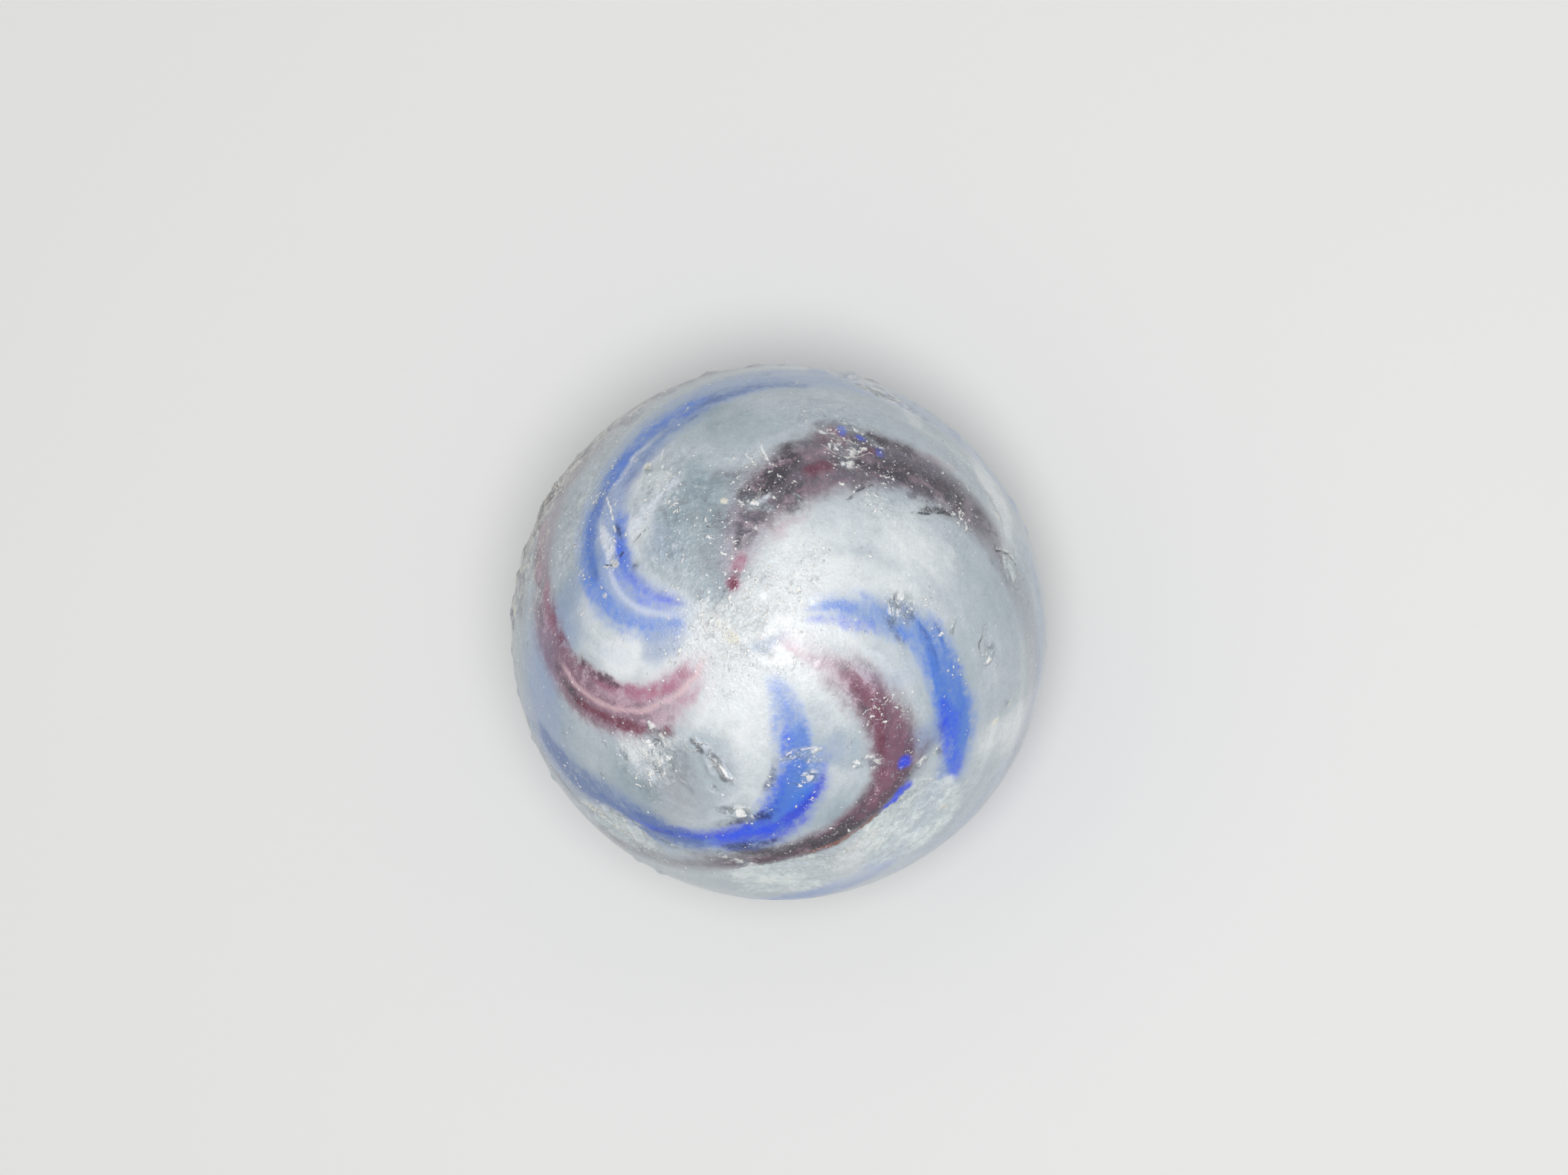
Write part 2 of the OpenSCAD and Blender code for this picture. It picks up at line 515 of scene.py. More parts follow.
CLOUDS = (
    Patch(222, 69, 4.0, 1.6, 90, 0.4),
    Patch(42, 20, 2.3, 1.9, 0, -1.0),
    Patch(50, 7, 0.8, 0.8, 0, -0.5),
    Patch(245, 8, 0.8, 0.4, 60, -0.45),
    Patch(300, 4, 0.6, 0.4, 30, -0.35),
    Patch(252, 14, 0.6, 0.4, 0, 0.35),
    Patch(66, 29, 1.3, 0.5, 30, 0.35),
    Patch(46, 36, 1.0, 0.5, 60, 0.3),
    Patch(35, 33, 1.0, 0.6, 40, -0.4),
    Patch(25, 47, 2.2, 1.2, 50, -0.5),
    Patch(125, 26, 1.6, 0.7, 35, 0.45),
    Patch(118, 17, 0.9, 0.6, 0, -0.5),
    Patch(102, 42, 2.6, 0.7, 55, -0.6),
    Patch(165, 38, 1.2, 0.7, 60, 0.5),
    Patch(182, 33, 1.3, 1.1, 0, -0.55),
    Patch(160, 46, 1.7, 1.1, 60, -0.45),
    Patch(172, 39, 1.3, 0.9, 0, -0.35),
    Patch(132, 52, 1.8, 0.9, 60, -0.4),
    Patch(238, 35, 0.8, 0.5, 0, -0.45),
    Patch(222, 48, 0.9, 0.5, 60, -0.35),
    Patch(255, 50, 1.3, 0.4, 60, -0.4),
    Patch(312, 44, 1.8, 1.2, 30, 0.25),
    Patch(292, 62, 1.5, 1.3, 30, -0.15),
    Patch(265, 76, 2.4, 0.9, 30, 0.45),
    Patch(318, 76, 1.6, 0.7, 60, 0.5),
    Patch(350, 73, 1.8, 0.6, 60, 0.5),
)

CASTS = (
    Patch(248, 8.5, 0.8, 0.4, 60, 0.6),
    Patch(120, 15, 0.9, 0.6, 30, 0.7),
    Patch(104, 40, 2.6, 0.9, 55, 0.6),
    Patch(128, 58, 3.4, 1.6, 60, 0.9),
    Patch(166, 56, 1.6, 0.7, 70, 0.9),
    Patch(60, 24, 1.0, 0.6, 0, 0.4),
    Patch(268, 34, 1.8, 0.6, 30, 0.4),
    Patch(255, 49, 1.8, 0.6, 50, 0.8),
    Patch(237, 34, 0.7, 0.6, 0, 0.5),
    Patch(240, 86, 5.0, 1.0, 90, 0.5),
    Patch(290, 84, 3.5, 0.8, 90, 0.5),
    Patch(80, 76, 4.5, 1.3, 90, -0.8),
    Patch(176, 40, 1.8, 1.2, 0, -0.5),
    Patch(72, 66, 2.8, 0.9, 70, -0.5),
)

# Gritty places: rougher relief and tone, and denser painted glints, standing in for the sparkle of
# the lamp off tiny facets.
GRIT_AND_GLINTS = (
    Patch(0, 0, 2.0, 2.0, 0, 0.9),
    Patch(42, 20, 2.2, 2.0, 0, 0.5),
    Patch(330, 12, 1.3, 1.0, 0, 0.5),
    Patch(165, 35, 1.6, 1.0, 0, 0.6),
    Patch(80, 70, 5.0, 2.4, 90, 0.55),
    Patch(345, 47, 2.6, 1.4, 60, 0.55),
    Patch(12, 28, 1.4, 1.2, 0, 0.6),
    Patch(318, 60, 1.8, 0.8, 50, 0.5),
    Patch(256, 38, 1.4, 0.5, 40, 0.6),
    Patch(225, 62, 3.0, 1.2, 90, 0.35),
    Patch(220, 36, 1.0, 0.6, 90, 0.5),
    Patch(292, 36, 1.0, 0.7, 0, 0.5),
    Patch(155, 70, 3.0, 1.6, 90, 0.5),
    Patch(75, 45, 2.8, 2.0, 0, 0.42),
    Patch(48, 33, 2.2, 1.4, 0, 0.4),
)

CRUST = (
    Patch(80, 74, 5.2, 1.6, 90, 1.0),
    Patch(97, 64, 2.4, 0.6, 60, 0.8),
    Patch(160, 66, 2.4, 1.0, 90, 0.2),
    Patch(352, 76, 2.0, 0.6, 80, 0.7),
)


def strongest(marks: Sequence[Patch | Stroke], skin: Skin) -> Array:
    """The weight of the strongest of some marks at each vertex."""
    return np.max([mark.weight(skin) for mark in marks], axis=0)


class Stain(Enum):
    """The colours that are laid in spots and strands over the glasses."""

    SMOKE = "smoke"
    ROSE = "rose"
    CRIMSON = "crimson"
    CHARCOAL = "charcoal"
    RUST = "rust"
    BLUSH = "blush"
    STEEL = "steel"
    AZURE = "azure"
    BLUE = "blue"
    NAVY = "navy"
    PEARL = "pearl"
    COBALT = "cobalt"
    CREAM = "cream"


STAINS: dict[Stain, tuple[Patch | Stroke, ...]] = {
    Stain.SMOKE: (
        Stroke(1.0, (
            (18, 17, 0.4), (10, 25, 0.7), (1, 33, 0.95), (-6, 40, 1.1), (-16, 47, 1.15),
            (-27, 53, 1.1), (-38, 58, 0.9), (-48, 65, 0.55),
        ), 1.0),
        Stroke(1.0, (
            (-30, 46, 0.2), (-35, 51, 0.4), (-40, 56, 0.45), (-46, 62, 0.4), (-52, 68, 0.3),
        ), 1.0),
        Stroke(0.6, (
            (108, 60, 0.4), (98, 66, 0.8), (86, 71, 1.0), (70, 75, 1.0), (52, 77, 0.8),
            (34, 78, 0.5),
        ), 1.0),
        Stroke(0.5, ((152, 68, 0.4), (138, 72, 0.6), (122, 76, 0.5)), 1.0),
        Stroke(0.7, ((34, 24, 0.3), (27, 22, 0.5), (20, 20, 0.5), (14, 18, 0.3)), 1.0),
        Stroke(0.6, ((31, 33, 0.3), (22, 31.5, 0.5), (14, 30, 0.5)), 1.0),
        Stroke(0.8, ((2, 48, 0.2), (-3, 50.5, 0.36), (-8, 52.8, 0.3)), 1.0),
    ),
    Stain.ROSE: (
        Patch(19, 7.8, 0.34, 0.24, 0, 1.0, 0.6),
        Stroke(0.75, (
            (154, 11, 0.2), (152, 18, 0.3), (146, 24, 0.34), (138, 29, 0.32), (130, 33, 0.26),
            (119, 38, 0.2),
        )),
        Stroke(0.5, ((168, 13, 0.2), (166, 19, 0.28), (163, 24, 0.26))),
        Stroke(0.5, ((112, 43, 0.3), (104, 48, 0.3), (92, 53, 0.25))),
        Stroke(0.6, ((98, 53, 0.35), (88, 59, 0.42), (80, 65, 0.4)), 1.0),
        Stroke(0.5, ((272, 9, 0.12), (264, 13, 0.2), (262, 19, 0.26), (263, 24, 0.3))),
        Stroke(0.35, ((240, 5, 0.12), (262, 8, 0.14))),
        Stroke(0.7, ((26, 10, 0.2), (16, 11, 0.3), (4, 14, 0.25))),
        Stroke(0.4, ((-4, 17, 0.2), (-10, 23, 0.25), (-16, 29, 0.2))),
        Stroke(0.3, ((-22, 58, 0.22), (-30, 63, 0.26), (-35, 68, 0.2))),
        Patch(352, 47, 1.0, 0.35, 60, 0.4),
        Patch(262, 27, 0.9, 0.35, 30, 0.3),
    ),
    Stain.CRIMSON: (
        Stroke(0.9, (
            (166, 26, 0.14), (162, 29.5, 0.22), (154, 32, 0.24), (145, 36, 0.2), (137, 40, 0.16),
            (128, 44, 0.12),
        )),
        Stroke(1.2, ((167, 26, 0.16), (163, 29, 0.18), (158.5, 31.5, 0.15)), 0.5),
        Stroke(0.6, (
            (129, 34.5, 0.16), (121, 38, 0.22), (113, 42, 0.28), (104, 46, 0.28), (96, 49, 0.16),
        )),
        Stroke(0.6, (
            (264, 23, 0.2), (260, 29, 0.3), (255, 35, 0.34), (248, 40, 0.32), (242, 44, 0.28),
            (236, 49, 0.3),
        )),
        Patch(19, 7.6, 0.2, 0.17, 0, 1.1, 0.6),
        Stroke(0.4, ((-8, 20, 0.12), (0, 21.5, 0.16), (10, 20, 0.12))),
        Stroke(0.9, ((-4, 34, 0.24), (-8.5, 38.5, 0.36), (-12, 42, 0.2)), 1.0),
        Stroke(0.5, ((0, 43, 0.24), (-5, 47, 0.3), (-12, 50, 0.2)), 1.0),
        Stroke(0.6, ((-14, 48, 0.24), (-19, 51, 0.24)), 1.0),
    ),
    Stain.CHARCOAL: (
        Stroke(0.8, ((34, 8.4, 0.06), (24, 9.6, 0.1), (12, 9.8, 0.1), (2, 8.8, 0.06)), 0.8),
        Stroke(0.9, ((141, 28, 0.14), (132, 31, 0.24), (125, 35, 0.26), (117, 38.5, 0.2)), 1.0),
        Stroke(0.6, ((136, 40, 0.16), (126, 44, 0.24), (116, 46.5, 0.2)), 1.0),
        Stroke(0.5, ((112, 47, 0.24), (102, 52, 0.3), (92, 57, 0.34), (84, 63, 0.3)), 1.0),
        Stroke(0.4, ((258, 25, 0.12), (255, 30, 0.18), (249, 35, 0.18), (243, 40, 0.16)), 1.0),
        Stroke(1.2, (
            (231, 52.6, 0.2), (225, 54, 0.32), (219, 54.9, 0.38), (211, 55, 0.38), (201, 54.8, 0.3),
            (190, 53.6, 0.2),
        ), 1.0),
        Stroke(1.1, (
            (-38.5, 45.6, 0.07), (-39.5, 50, 0.13), (-41.5, 54, 0.14), (-43.5, 58, 0.12),
        ), 0.9),
        Stroke(0.7, ((22, 13, 0.3), (12, 19, 0.4), (2, 24, 0.4)), 1.0),
        Stroke(1.3, (
            (19, 24, 0.24), (12, 28, 0.42), (6, 32, 0.5), (3, 37, 0.5), (3, 42, 0.3),
        ), 1.0),
        Stroke(0.9, ((-2, 24, 0.3), (-6, 29, 0.4), (-3, 34, 0.4)), 1.0),
        Stroke(1.2, (
            (-18, 45, 0.3), (-26, 50, 0.46), (-32, 54, 0.55), (-38, 58, 0.5), (-44, 62, 0.4),
        ), 1.0),
        Stroke(0.8, ((-6, 42, 0.2), (-16, 45, 0.28), (-26, 47.5, 0.28)), 1.0),
        Stroke(0.8, ((-42, 61, 0.36), (-47, 65, 0.34), (-52, 69, 0.24)), 1.0),
        Stroke(0.7, ((-8, 52, 0.2), (-18, 55, 0.28), (-27, 60, 0.3)), 1.0),
        Stroke(0.6, ((-37, 46, 0.16), (-40, 51.5, 0.24), (-43, 57, 0.26), (-45, 63, 0.24)), 1.0),
        Stroke(0.5, ((-20.5, 36, 0.15), (-22, 40, 0.2), (-23, 44, 0.2)), 1.0),
        Patch(235, 9, 0.5, 0.16, 60, 0.5),
        Patch(283, 36.5, 0.35, 0.12, 60, 0.5),
        Patch(36, 12, 1.5, 0.9, 20, 0.35),
        Patch(30, 22, 1.3, 0.7, 60, 0.3),
        Stroke(0.4, ((178, 28.6, 0.2), (185, 31.6, 0.22), (192, 35.6, 0.2)), 1.0),
        Stroke(1.0, (
            (183, 28.3, 0.08), (187, 30, 0.14), (191.5, 32.4, 0.13), (196, 35.4, 0.07),
        ), 0.9),
        Stroke(0.9, ((174, 26.6, 0.07), (178, 27.6, 0.12), (183, 29.8, 0.1)), 0.9),
        Stroke(0.35, ((170, 34, 0.24), (180, 38, 0.24)), 1.0),
    ),
    Stain.RUST: (
        Stroke(0.9, ((234, 54, 0.06), (226, 56.2, 0.08), (217, 57.2, 0.08), (207, 57, 0.06)), 0.5),
    ),
    Stain.BLUSH: (
        Stroke(0.85, (
            (155, 8, 0.1), (160, 13.5, 0.11), (158.5, 19.5, 0.12), (154.5, 24.5, 0.13),
            (148.5, 29.5, 0.13), (141, 34.5, 0.13), (134, 38, 0.13), (126, 41.5, 0.13),
            (118, 44, 0.12),
        ), 1.0),
        Stroke(0.35, ((153, 20, 0.13), (145, 27, 0.14), (137, 32, 0.14), (129, 36.5, 0.13)), 1.0),
    ),
    Stain.STEEL: (
        Stroke(0.72, (
            (95, 32, 0.24), (85, 38, 0.4), (77, 41.5, 0.42), (69, 44.5, 0.36), (60, 48, 0.36),
            (53, 51, 0.42), (46, 53.5, 0.44), (38, 55.5, 0.44), (28, 58, 0.4), (18, 61.5, 0.36),
            (6, 65, 0.4),
        ), 1.0),
        Stroke(0.66, (
            (65, 44, 0.4), (57, 48, 0.6), (50, 51.5, 0.66), (42, 54.6, 0.7), (33, 57.8, 0.66),
            (22, 61, 0.6),
        ), 1.0),
        Stroke(0.4, (
            (63, 40.5, 0.16), (55, 44, 0.32), (48, 46.5, 0.34), (42, 49.5, 0.34), (34, 52, 0.3),
            (26, 55, 0.24),
        ), 1.0),
        Stroke(1.0, (
            (188, 53, 0.36), (181, 54.2, 0.56), (175, 54.6, 0.74), (169, 54.4, 0.86),
            (162, 55, 0.9), (156, 56.4, 0.9), (150, 58.6, 0.84), (144, 60.2, 0.74),
            (138, 61.6, 0.6), (130, 63.5, 0.4),
        ), 1.0),
    ),
    Stain.AZURE: (
        Stroke(0.6, (
            (65, 39, 0.2), (70, 34.8, 0.32), (75.5, 31.2, 0.38), (81.5, 27.4, 0.38), (86, 24, 0.3),
        ), 1.0),
        Stroke(0.62, (
            (112, 8, 0.24), (114, 15, 0.4), (108, 23, 0.46), (100, 30, 0.42), (92, 34, 0.3),
        ), 1.0),
        Stroke(0.72, (
            (66, 44, 0.3), (61, 46.8, 0.44), (54, 50.2, 0.48), (47, 53.4, 0.46), (39, 56.4, 0.4),
            (29, 59.6, 0.34),
        ), 1.0),
        Stroke(0.7, (
            (70, 46.4, 0.2), (76, 43, 0.32), (83, 40, 0.36), (91, 36.4, 0.38), (98, 32, 0.34),
            (104, 27, 0.26),
        ), 1.0),
        Stroke(0.5, ((92, 33, 0.2), (82, 38.5, 0.26), (72, 42.5, 0.24), (64, 46, 0.2)), 1.0),
        Stroke(0.45, ((52, 50, 0.24), (42, 53, 0.3), (30, 56, 0.26)), 1.0),
        Stroke(0.5, ((233, 11, 0.2), (227, 20, 0.42), (221, 26, 0.5), (216, 31, 0.4))),
        Stroke(0.8, ((222, 34, 0.2), (219, 38, 0.3), (212, 42, 0.24), (204, 45, 0.13))),
        Stroke(0.6, ((299, 14, 0.16), (298, 20, 0.22), (295, 27, 0.2))),
        Stroke(0.5, ((291, 30, 0.26), (281, 38, 0.3), (274, 43, 0.4), (262, 51, 0.42))),
    ),
    Stain.BLUE: (
        Stroke(0.34, (
            (70.5, 34.2, 0.2), (75.5, 31.2, 0.3), (81, 27.8, 0.3), (85, 24.6, 0.24),
        ), 1.0),
        Stroke(0.5, (
            (88, 10, 0.24), (94, 16, 0.4), (92, 22, 0.46), (86, 27.5, 0.42), (79, 31, 0.28),
            (72.5, 34.5, 0.15),
        ), 1.0),
        Patch(38, 55, 0.6, 0.16, 60, 0.3),
        Stroke(0.5, ((228, 21, 0.16), (216, 32, 0.28), (208, 38, 0.34), (203, 43, 0.28)), 1.0),
        Stroke(1.0, ((208, 46, 0.16), (201, 47.8, 0.22), (194, 49.6, 0.2), (186, 51.4, 0.13))),
        Stroke(0.45, ((188, 51.2, 0.16), (180, 53.2, 0.2), (171, 55, 0.16), (163, 56, 0.13))),
        Stroke(0.5, ((289, 13, 0.14), (289, 22, 0.24), (284, 31, 0.2))),
        Stroke(0.65, ((270, 47, 0.16), (262, 53, 0.4), (255, 59, 0.4), (250, 66, 0.3))),
        Patch(276.5, 51, 0.16, 0.13, 20, 0.7),
        Patch(341, 51, 0.26, 0.2, 40, 0.55),
        Patch(348, 52, 0.26, 0.18, 60, 0.7),
        Patch(353, 50.4, 0.26, 0.18, 20, 0.7),
    ),
    Stain.NAVY: (
        Stroke(0.6, ((215, 28, 0.12), (209, 34, 0.15), (203, 39, 0.15)), 1.0),
        Stroke(0.9, ((210, 42, 0.13), (201, 44, 0.2), (192, 46, 0.15), (187, 47, 0.12))),
        Stroke(0.8, ((208, 50.5, 0.13), (197, 52.6, 0.2), (188, 53.6, 0.16))),
        Stroke(0.4, ((180, 52.6, 0.12), (170, 56, 0.13))),
        Stroke(0.5, ((292, 30, 0.12), (284, 33.5, 0.14), (276, 37, 0.12))),
        Stroke(0.5, ((70.5, 37, 0.1), (72.5, 34, 0.13), (74.5, 31, 0.1)), 1.0),
        Stroke(0.22, ((92, 35, 0.2), (84, 39.5, 0.24), (74, 43, 0.2)), 1.0),
        Stroke(0.2, ((58, 44, 0.2), (48, 48, 0.24), (38, 52, 0.2)), 1.0),
        Patch(79, 24.7, 0.16, 0.12, 30, 0.7),
        Patch(345, 38, 0.7, 0.2, 40, 0.25),
    ),
    Stain.PEARL: (
        Stroke(1.1, ((72, 40, 0.12), (76, 36.4, 0.22), (80, 33.4, 0.26), (84.5, 30.8, 0.15))),
        Stroke(0.55, ((66, 43, 0.12), (58, 45.7, 0.17), (51, 47.7, 0.17), (44, 50.2, 0.13)), 1.0),
        Stroke(0.5, ((277, 26, 0.12), (273, 33, 0.14), (268, 38, 0.12))),
        Stroke(0.8, (
            (72, 29.5, 0.16), (67, 31, 0.26), (60, 31.7, 0.32), (52, 32.6, 0.31), (44, 34.2, 0.24),
            (38, 37, 0.12),
        ), 0.9),
        Stroke(0.6, ((116, 33, 0.2), (122, 28, 0.4), (130, 22, 0.3))),
        Stroke(0.5, ((176, 25.5, 0.2), (183, 27, 0.26), (190, 30.2, 0.26), (196, 34.6, 0.2)), 1.0),
        Patch(163, 33.2, 0.34, 0.2, 60, 0.9),
        Patch(167, 36.6, 0.3, 0.2, 0, 0.9),
        Patch(154, 39.6, 0.2, 0.15, 60, 0.7),
        Patch(165, 40, 1.0, 0.5, 60, 0.4),
        Patch(148, 42, 0.16, 0.12, 60, 0.9),
        Patch(188, 36.9, 0.18, 0.12, 60, 0.9),
        Stroke(0.8, (
            (186, 28.2, 0.07), (190, 30, 0.1), (194.5, 32.6, 0.1), (198, 35.2, 0.06),
        ), 1.0),
        Stroke(0.6, ((181, 29.4, 0.06), (185.5, 31.4, 0.1), (190, 34, 0.08)), 1.0),
        Stroke(1.0, ((177, 26, 0.06), (182, 27, 0.12), (187, 28.6, 0.08)), 0.8),
        Stroke(0.9, ((18, 24.2, 0.1), (12, 25.3, 0.18), (7, 26.9, 0.18), (3, 29, 0.1)), 0.8),
        Stroke(0.6, (
            (150, 65.5, 0.2), (157, 66.2, 0.34), (163, 66.5, 0.42), (169, 65, 0.4), (174, 62, 0.3),
        ), 1.0),
    ),
    Stain.COBALT: (
        Stroke(0.9, ((249.5, 47.4, 0.16), (247, 48.4, 0.26), (245, 49.9, 0.2)), 0.8),
        Stroke(1.3, (
            (244.5, 52.4, 0.15), (241.5, 53.9, 0.25), (237.5, 54.9, 0.26), (232.5, 55.1, 0.15),
        ), 0.8),
    ),
    Stain.CREAM: (
        Patch(188, 3.6, 0.32, 0.22, 30, 0.9),
        Patch(51, 42.7, 0.15, 0.11, 0, 1.0, 0.8),
        Patch(97, 30, 0.11, 0.08, 0, 0.9, 0.8),
        Patch(90, 38.5, 0.3, 0.1, 60, 0.6),
        Stroke(0.6, ((82, 72, 0.16), (86, 70, 0.2), (92, 66.5, 0.2)), 0.8),
        Stroke(0.5, ((94, 60, 0.14), (98, 56, 0.18), (101, 52.5, 0.16)), 0.8),
        Stroke(0.6, (
            (150, 66, 0.1), (154, 67, 0.16), (158, 66.2, 0.16), (162, 68, 0.2), (167, 69, 0.16),
        ), 1.0),
        Patch(271, 71, 0.26, 0.1, 80, 0.6, 0.9),
        Patch(266, 67.2, 0.26, 0.14, 60, 0.6, 0.9),
        Patch(243, 72.4, 0.3, 0.2, 0, 0.5, 0.9),
        Patch(82.5, 30.3, 0.2, 0.15, 0, 1.3, 0.5),
        Patch(26, 26, 0.16, 0.12, 60, 1.0, 0.5),
        Patch(124, 3, 0.3, 0.2, 0, 0.6),
        Patch(248, 66, 1.3, 0.4, 20, 0.25),
        Stroke(0.3, ((245, 59, 0.3), (228, 61, 0.4), (210, 62, 0.3), (192, 62, 0.2))),
        Patch(315, 73, 0.8, 0.35, 60, 0.45),
        Patch(354, 73, 0.9, 0.35, 80, 0.5),
    ),
}


# ---------------------------------------------------------------- wear

PAST_SKIN = 1.1 * BALL_R  # a distance from the centre that cuts nothing
EDGE_ROUND = 0.07  # how far handling has rounded off the edges of the hollows, in millimetres


@dataclass
class Wear:
    """What the wear does to the skin, vertex by vertex.

    Attributes:
        radius: distance from the ball's centre, in millimetres.
        fresh: 1 on broken glass that was never fire polished, 0 elsewhere.
        ridge: above 0.5 on the high parts of broken glass, below it in the low parts.
        crush: 1 where the glass is crushed to grains.
        seam_at: signed distance from the nearest crack, in millimetres.
        seam_dark: 1 near a crack that lets no light out.
        seam_white: 1 near a crack that throws light back.
    """

    radius: Array
    fresh: Array
    ridge: Array
    crush: Array
    seam_at: Array
    seam_dark: Array
    seam_white: Array

    def cut(self, floor: Array, fresh: float, ridge: Array) -> None:
        """Lowers the skin to a floor.

        Args:
            floor: distance of the floor from the ball's centre.
            fresh: how broken the cut glass looks.
            ridge: where the high parts of the floor are.
        """
        above = self.radius - floor
        blend = np.clip(0.5 + 0.5 * above / EDGE_ROUND, 0, 1)
        self.radius = self.radius - above * blend - EDGE_ROUND * blend * (1 - blend)
        share = fresh * smooth_step(above, -0.02, 0.2)
        self.ridge = self.ridge + (ridge - self.ridge) * share
        self.fresh = np.maximum(self.fresh, share)


def hollow_floor(skin: Skin, turn: float, fall: float, width: float, depth: float) -> Array:
    """Where rays from the centre meet the hollow that a blow leaves, as part of a large sphere.

    Args:
        skin: the unworn surface.
        turn: the turn of the hollow's middle.
        fall: the fall of the hollow's middle.
        width: its width on the surface.
        depth: its depth under the top of the ball.

    Returns:
        The distance from the ball's centre, or a length past the surface where the ray misses it.
    """
    lift = depth - sagitta(width)
    hollow_r = (width**2 / 4 + lift**2) / (2 * lift)
    middle = BALL_R - depth + hollow_r
    cosine = skin.dirs @ direction(turn, fall)
    inner = (middle * cosine) ** 2 - middle**2 + hollow_r**2
    entry = middle * cosine - np.sqrt(np.clip(inner, 0, None))
    return np.where((inner > 0) & (cosine > 0), entry, PAST_SKIN)


@dataclass(frozen=True)
class Flake:
    """A shell-shaped flake: a hollow whose floor is ringed with ripples that spread from the blow.

    Attributes:
        turn: the turn of its middle.
        fall: the fall of its middle.
        width: its width on the surface.
        depth: its depth under the top of the ball.
        blow: the side that the blow came from, in degrees.
        ripple_pitch: distance from crest to crest.
        ripple_h: height of a ripple.
        blow_offset: the blow's place, as a share of half the width.
        floor_share: level of the rippled floor, as a share of the depth.
        crag: height of the uneven ground in it.
        stop: a band of glass at whose edge the flake ended.
    """

    turn: float
    fall: float
    width: float
    depth: float
    blow: float
    ripple_pitch: float = 0.55
    ripple_h: float = 0.05
    blow_offset: float = 0.62
    floor_share: float = 0.7
    crag: float = 0.24
    stop: Band | None = None

    def carve(self, skin: Skin, wear: Wear) -> None:
        """Cuts the flake out of the skin.

        Args:
            skin: the unworn surface.
            wear: the wear so far, which is changed.
        """
        points = skin.dirs * BALL_R
        warp = cloud_noise(points, 0.9, 5, 2) - 0.5
        crags = cloud_noise(points, 1.3, 6, 4) - 0.5
        edge = 0.34 * (cloud_noise(points, 1.4, 7, 4) - 0.5)
        if self.stop:
            edge = edge + 0.6 * smooth_step(self.stop.inside(skin), -0.12, 0.1)
        floor = hollow_floor(skin, self.turn, self.fall, self.width, self.depth) + edge
        a, b, out = skin.local(self.turn, self.fall, self.blow)
        reach = np.hypot(a - self.width / 2 * self.blow_offset, b)
        ring = 1 - np.cos(2 * math.pi * (reach + 1.3 * warp) / self.ripple_pitch)
        swell = self.ripple_h * ring / 2 * smooth_step(crags, 0.2, -0.05)
        low = BALL_R - self.depth * self.floor_share + swell + self.crag * crags
        rippled = low / np.clip(out, 0.2, 1)
        ridge = 0.5 + 1.8 * crags + 0.05 * (ring - 1)
        wear.cut(np.where(out > 0, np.maximum(floor, rippled), PAST_SKIN), 1.0, ridge)


@dataclass(frozen=True)
class Bruise:
    """A small round hollow with a crumbled floor.

    Attributes:
        turn: the turn of its middle.
        fall: the fall of its middle.
        width: its width on the surface.
        crush: how much of it is crushed to grains.
        depth: its depth under its rim.
    """

    turn: float
    fall: float
    width: float
    crush: float
    depth: float = 0.1

    def carve(self, skin: Skin, wear: Wear) -> None:
        """Cuts the bruise out of the skin.

        Args:
            skin: the unworn surface.
            wear: the wear so far, which is changed.
        """
        depth = self.depth + sagitta(self.width)
        floor = hollow_floor(skin, self.turn, self.fall, self.width, depth)
        crumbs = cloud_noise(skin.dirs * BALL_R, 0.3, 11, 2) - 0.5
        a, b, out = skin.local(self.turn, self.fall)
        wear.cut(floor + 0.08 * crumbs, 0.35, 0.5 + crumbs)
        fading = smooth_step(np.hypot(a, b), 0.1 * self.width, 0.6 * self.width)
        near = np.where(out > 0, 1 - fading, 0)
        wear.crush = np.maximum(wear.crush, self.crush * near)


@dataclass(frozen=True)
class Crack:
    """A thin crack along a bowed line.

    Attributes:
        start: the turn and the fall of one end.
        end: the turn and the fall of the other end.
        bow: how far the line bows out in its middle.
        depth: how deep the crack is cut.
        dark: how dark its line is.
        white: how bright the glass beside it is.
        stray: how far the line strays.
    """

    start: tuple[float, float]
    end: tuple[float, float]
    bow: float = 0.0
    depth: float = 0.04
    dark: float = 0.0
    white: float = 0.0
    stray: float = 0.16

    def carve(self, skin: Skin, wear: Wear) -> None:
        """Cuts the crack into the skin.

        Args:
            skin: the unworn surface.
            wear: the wear so far, which is changed.
        """
        middle = direction(*self.start) + direction(*self.end)
        middle /= np.linalg.norm(middle)
        turn = math.degrees(math.atan2(middle[1], middle[0]))
        fall = math.degrees(math.acos(middle[2]))
        ends = Skin.of(np.array([direction(*self.start), direction(*self.end)]))
        along, side, _ = ends.local(turn, fall)
        spin = math.degrees(math.atan2(side[1] - side[0], along[1] - along[0]))
        half = math.hypot(along[1] - along[0], side[1] - side[0]) / 2
        a, b, out = skin.local(turn, fall, spin)
        t = a / half
        wobble = cloud_noise(skin.dirs * BALL_R, 0.5, 23, 2) - 0.5
        off = b - self.bow * (1 - t * t) - self.stray * wobble
        near = np.where((out > 0) & (np.abs(t) < 1), 1 - smooth_step(np.abs(off), 0.12, 0.3), 0)
        near = near * np.clip(1.15 * (1 - t * t), 0, 1) ** 0.5
        wear.radius = wear.radius - self.depth * near * (1 - smooth_step(np.abs(off), 0.02, 0.12))
        wear.seam_at = np.where(near > 0, off, wear.seam_at)
        wear.seam_dark = np.maximum(wear.seam_dark, self.dark * near)
        wear.seam_white = np.maximum(wear.seam_white, self.white * near)


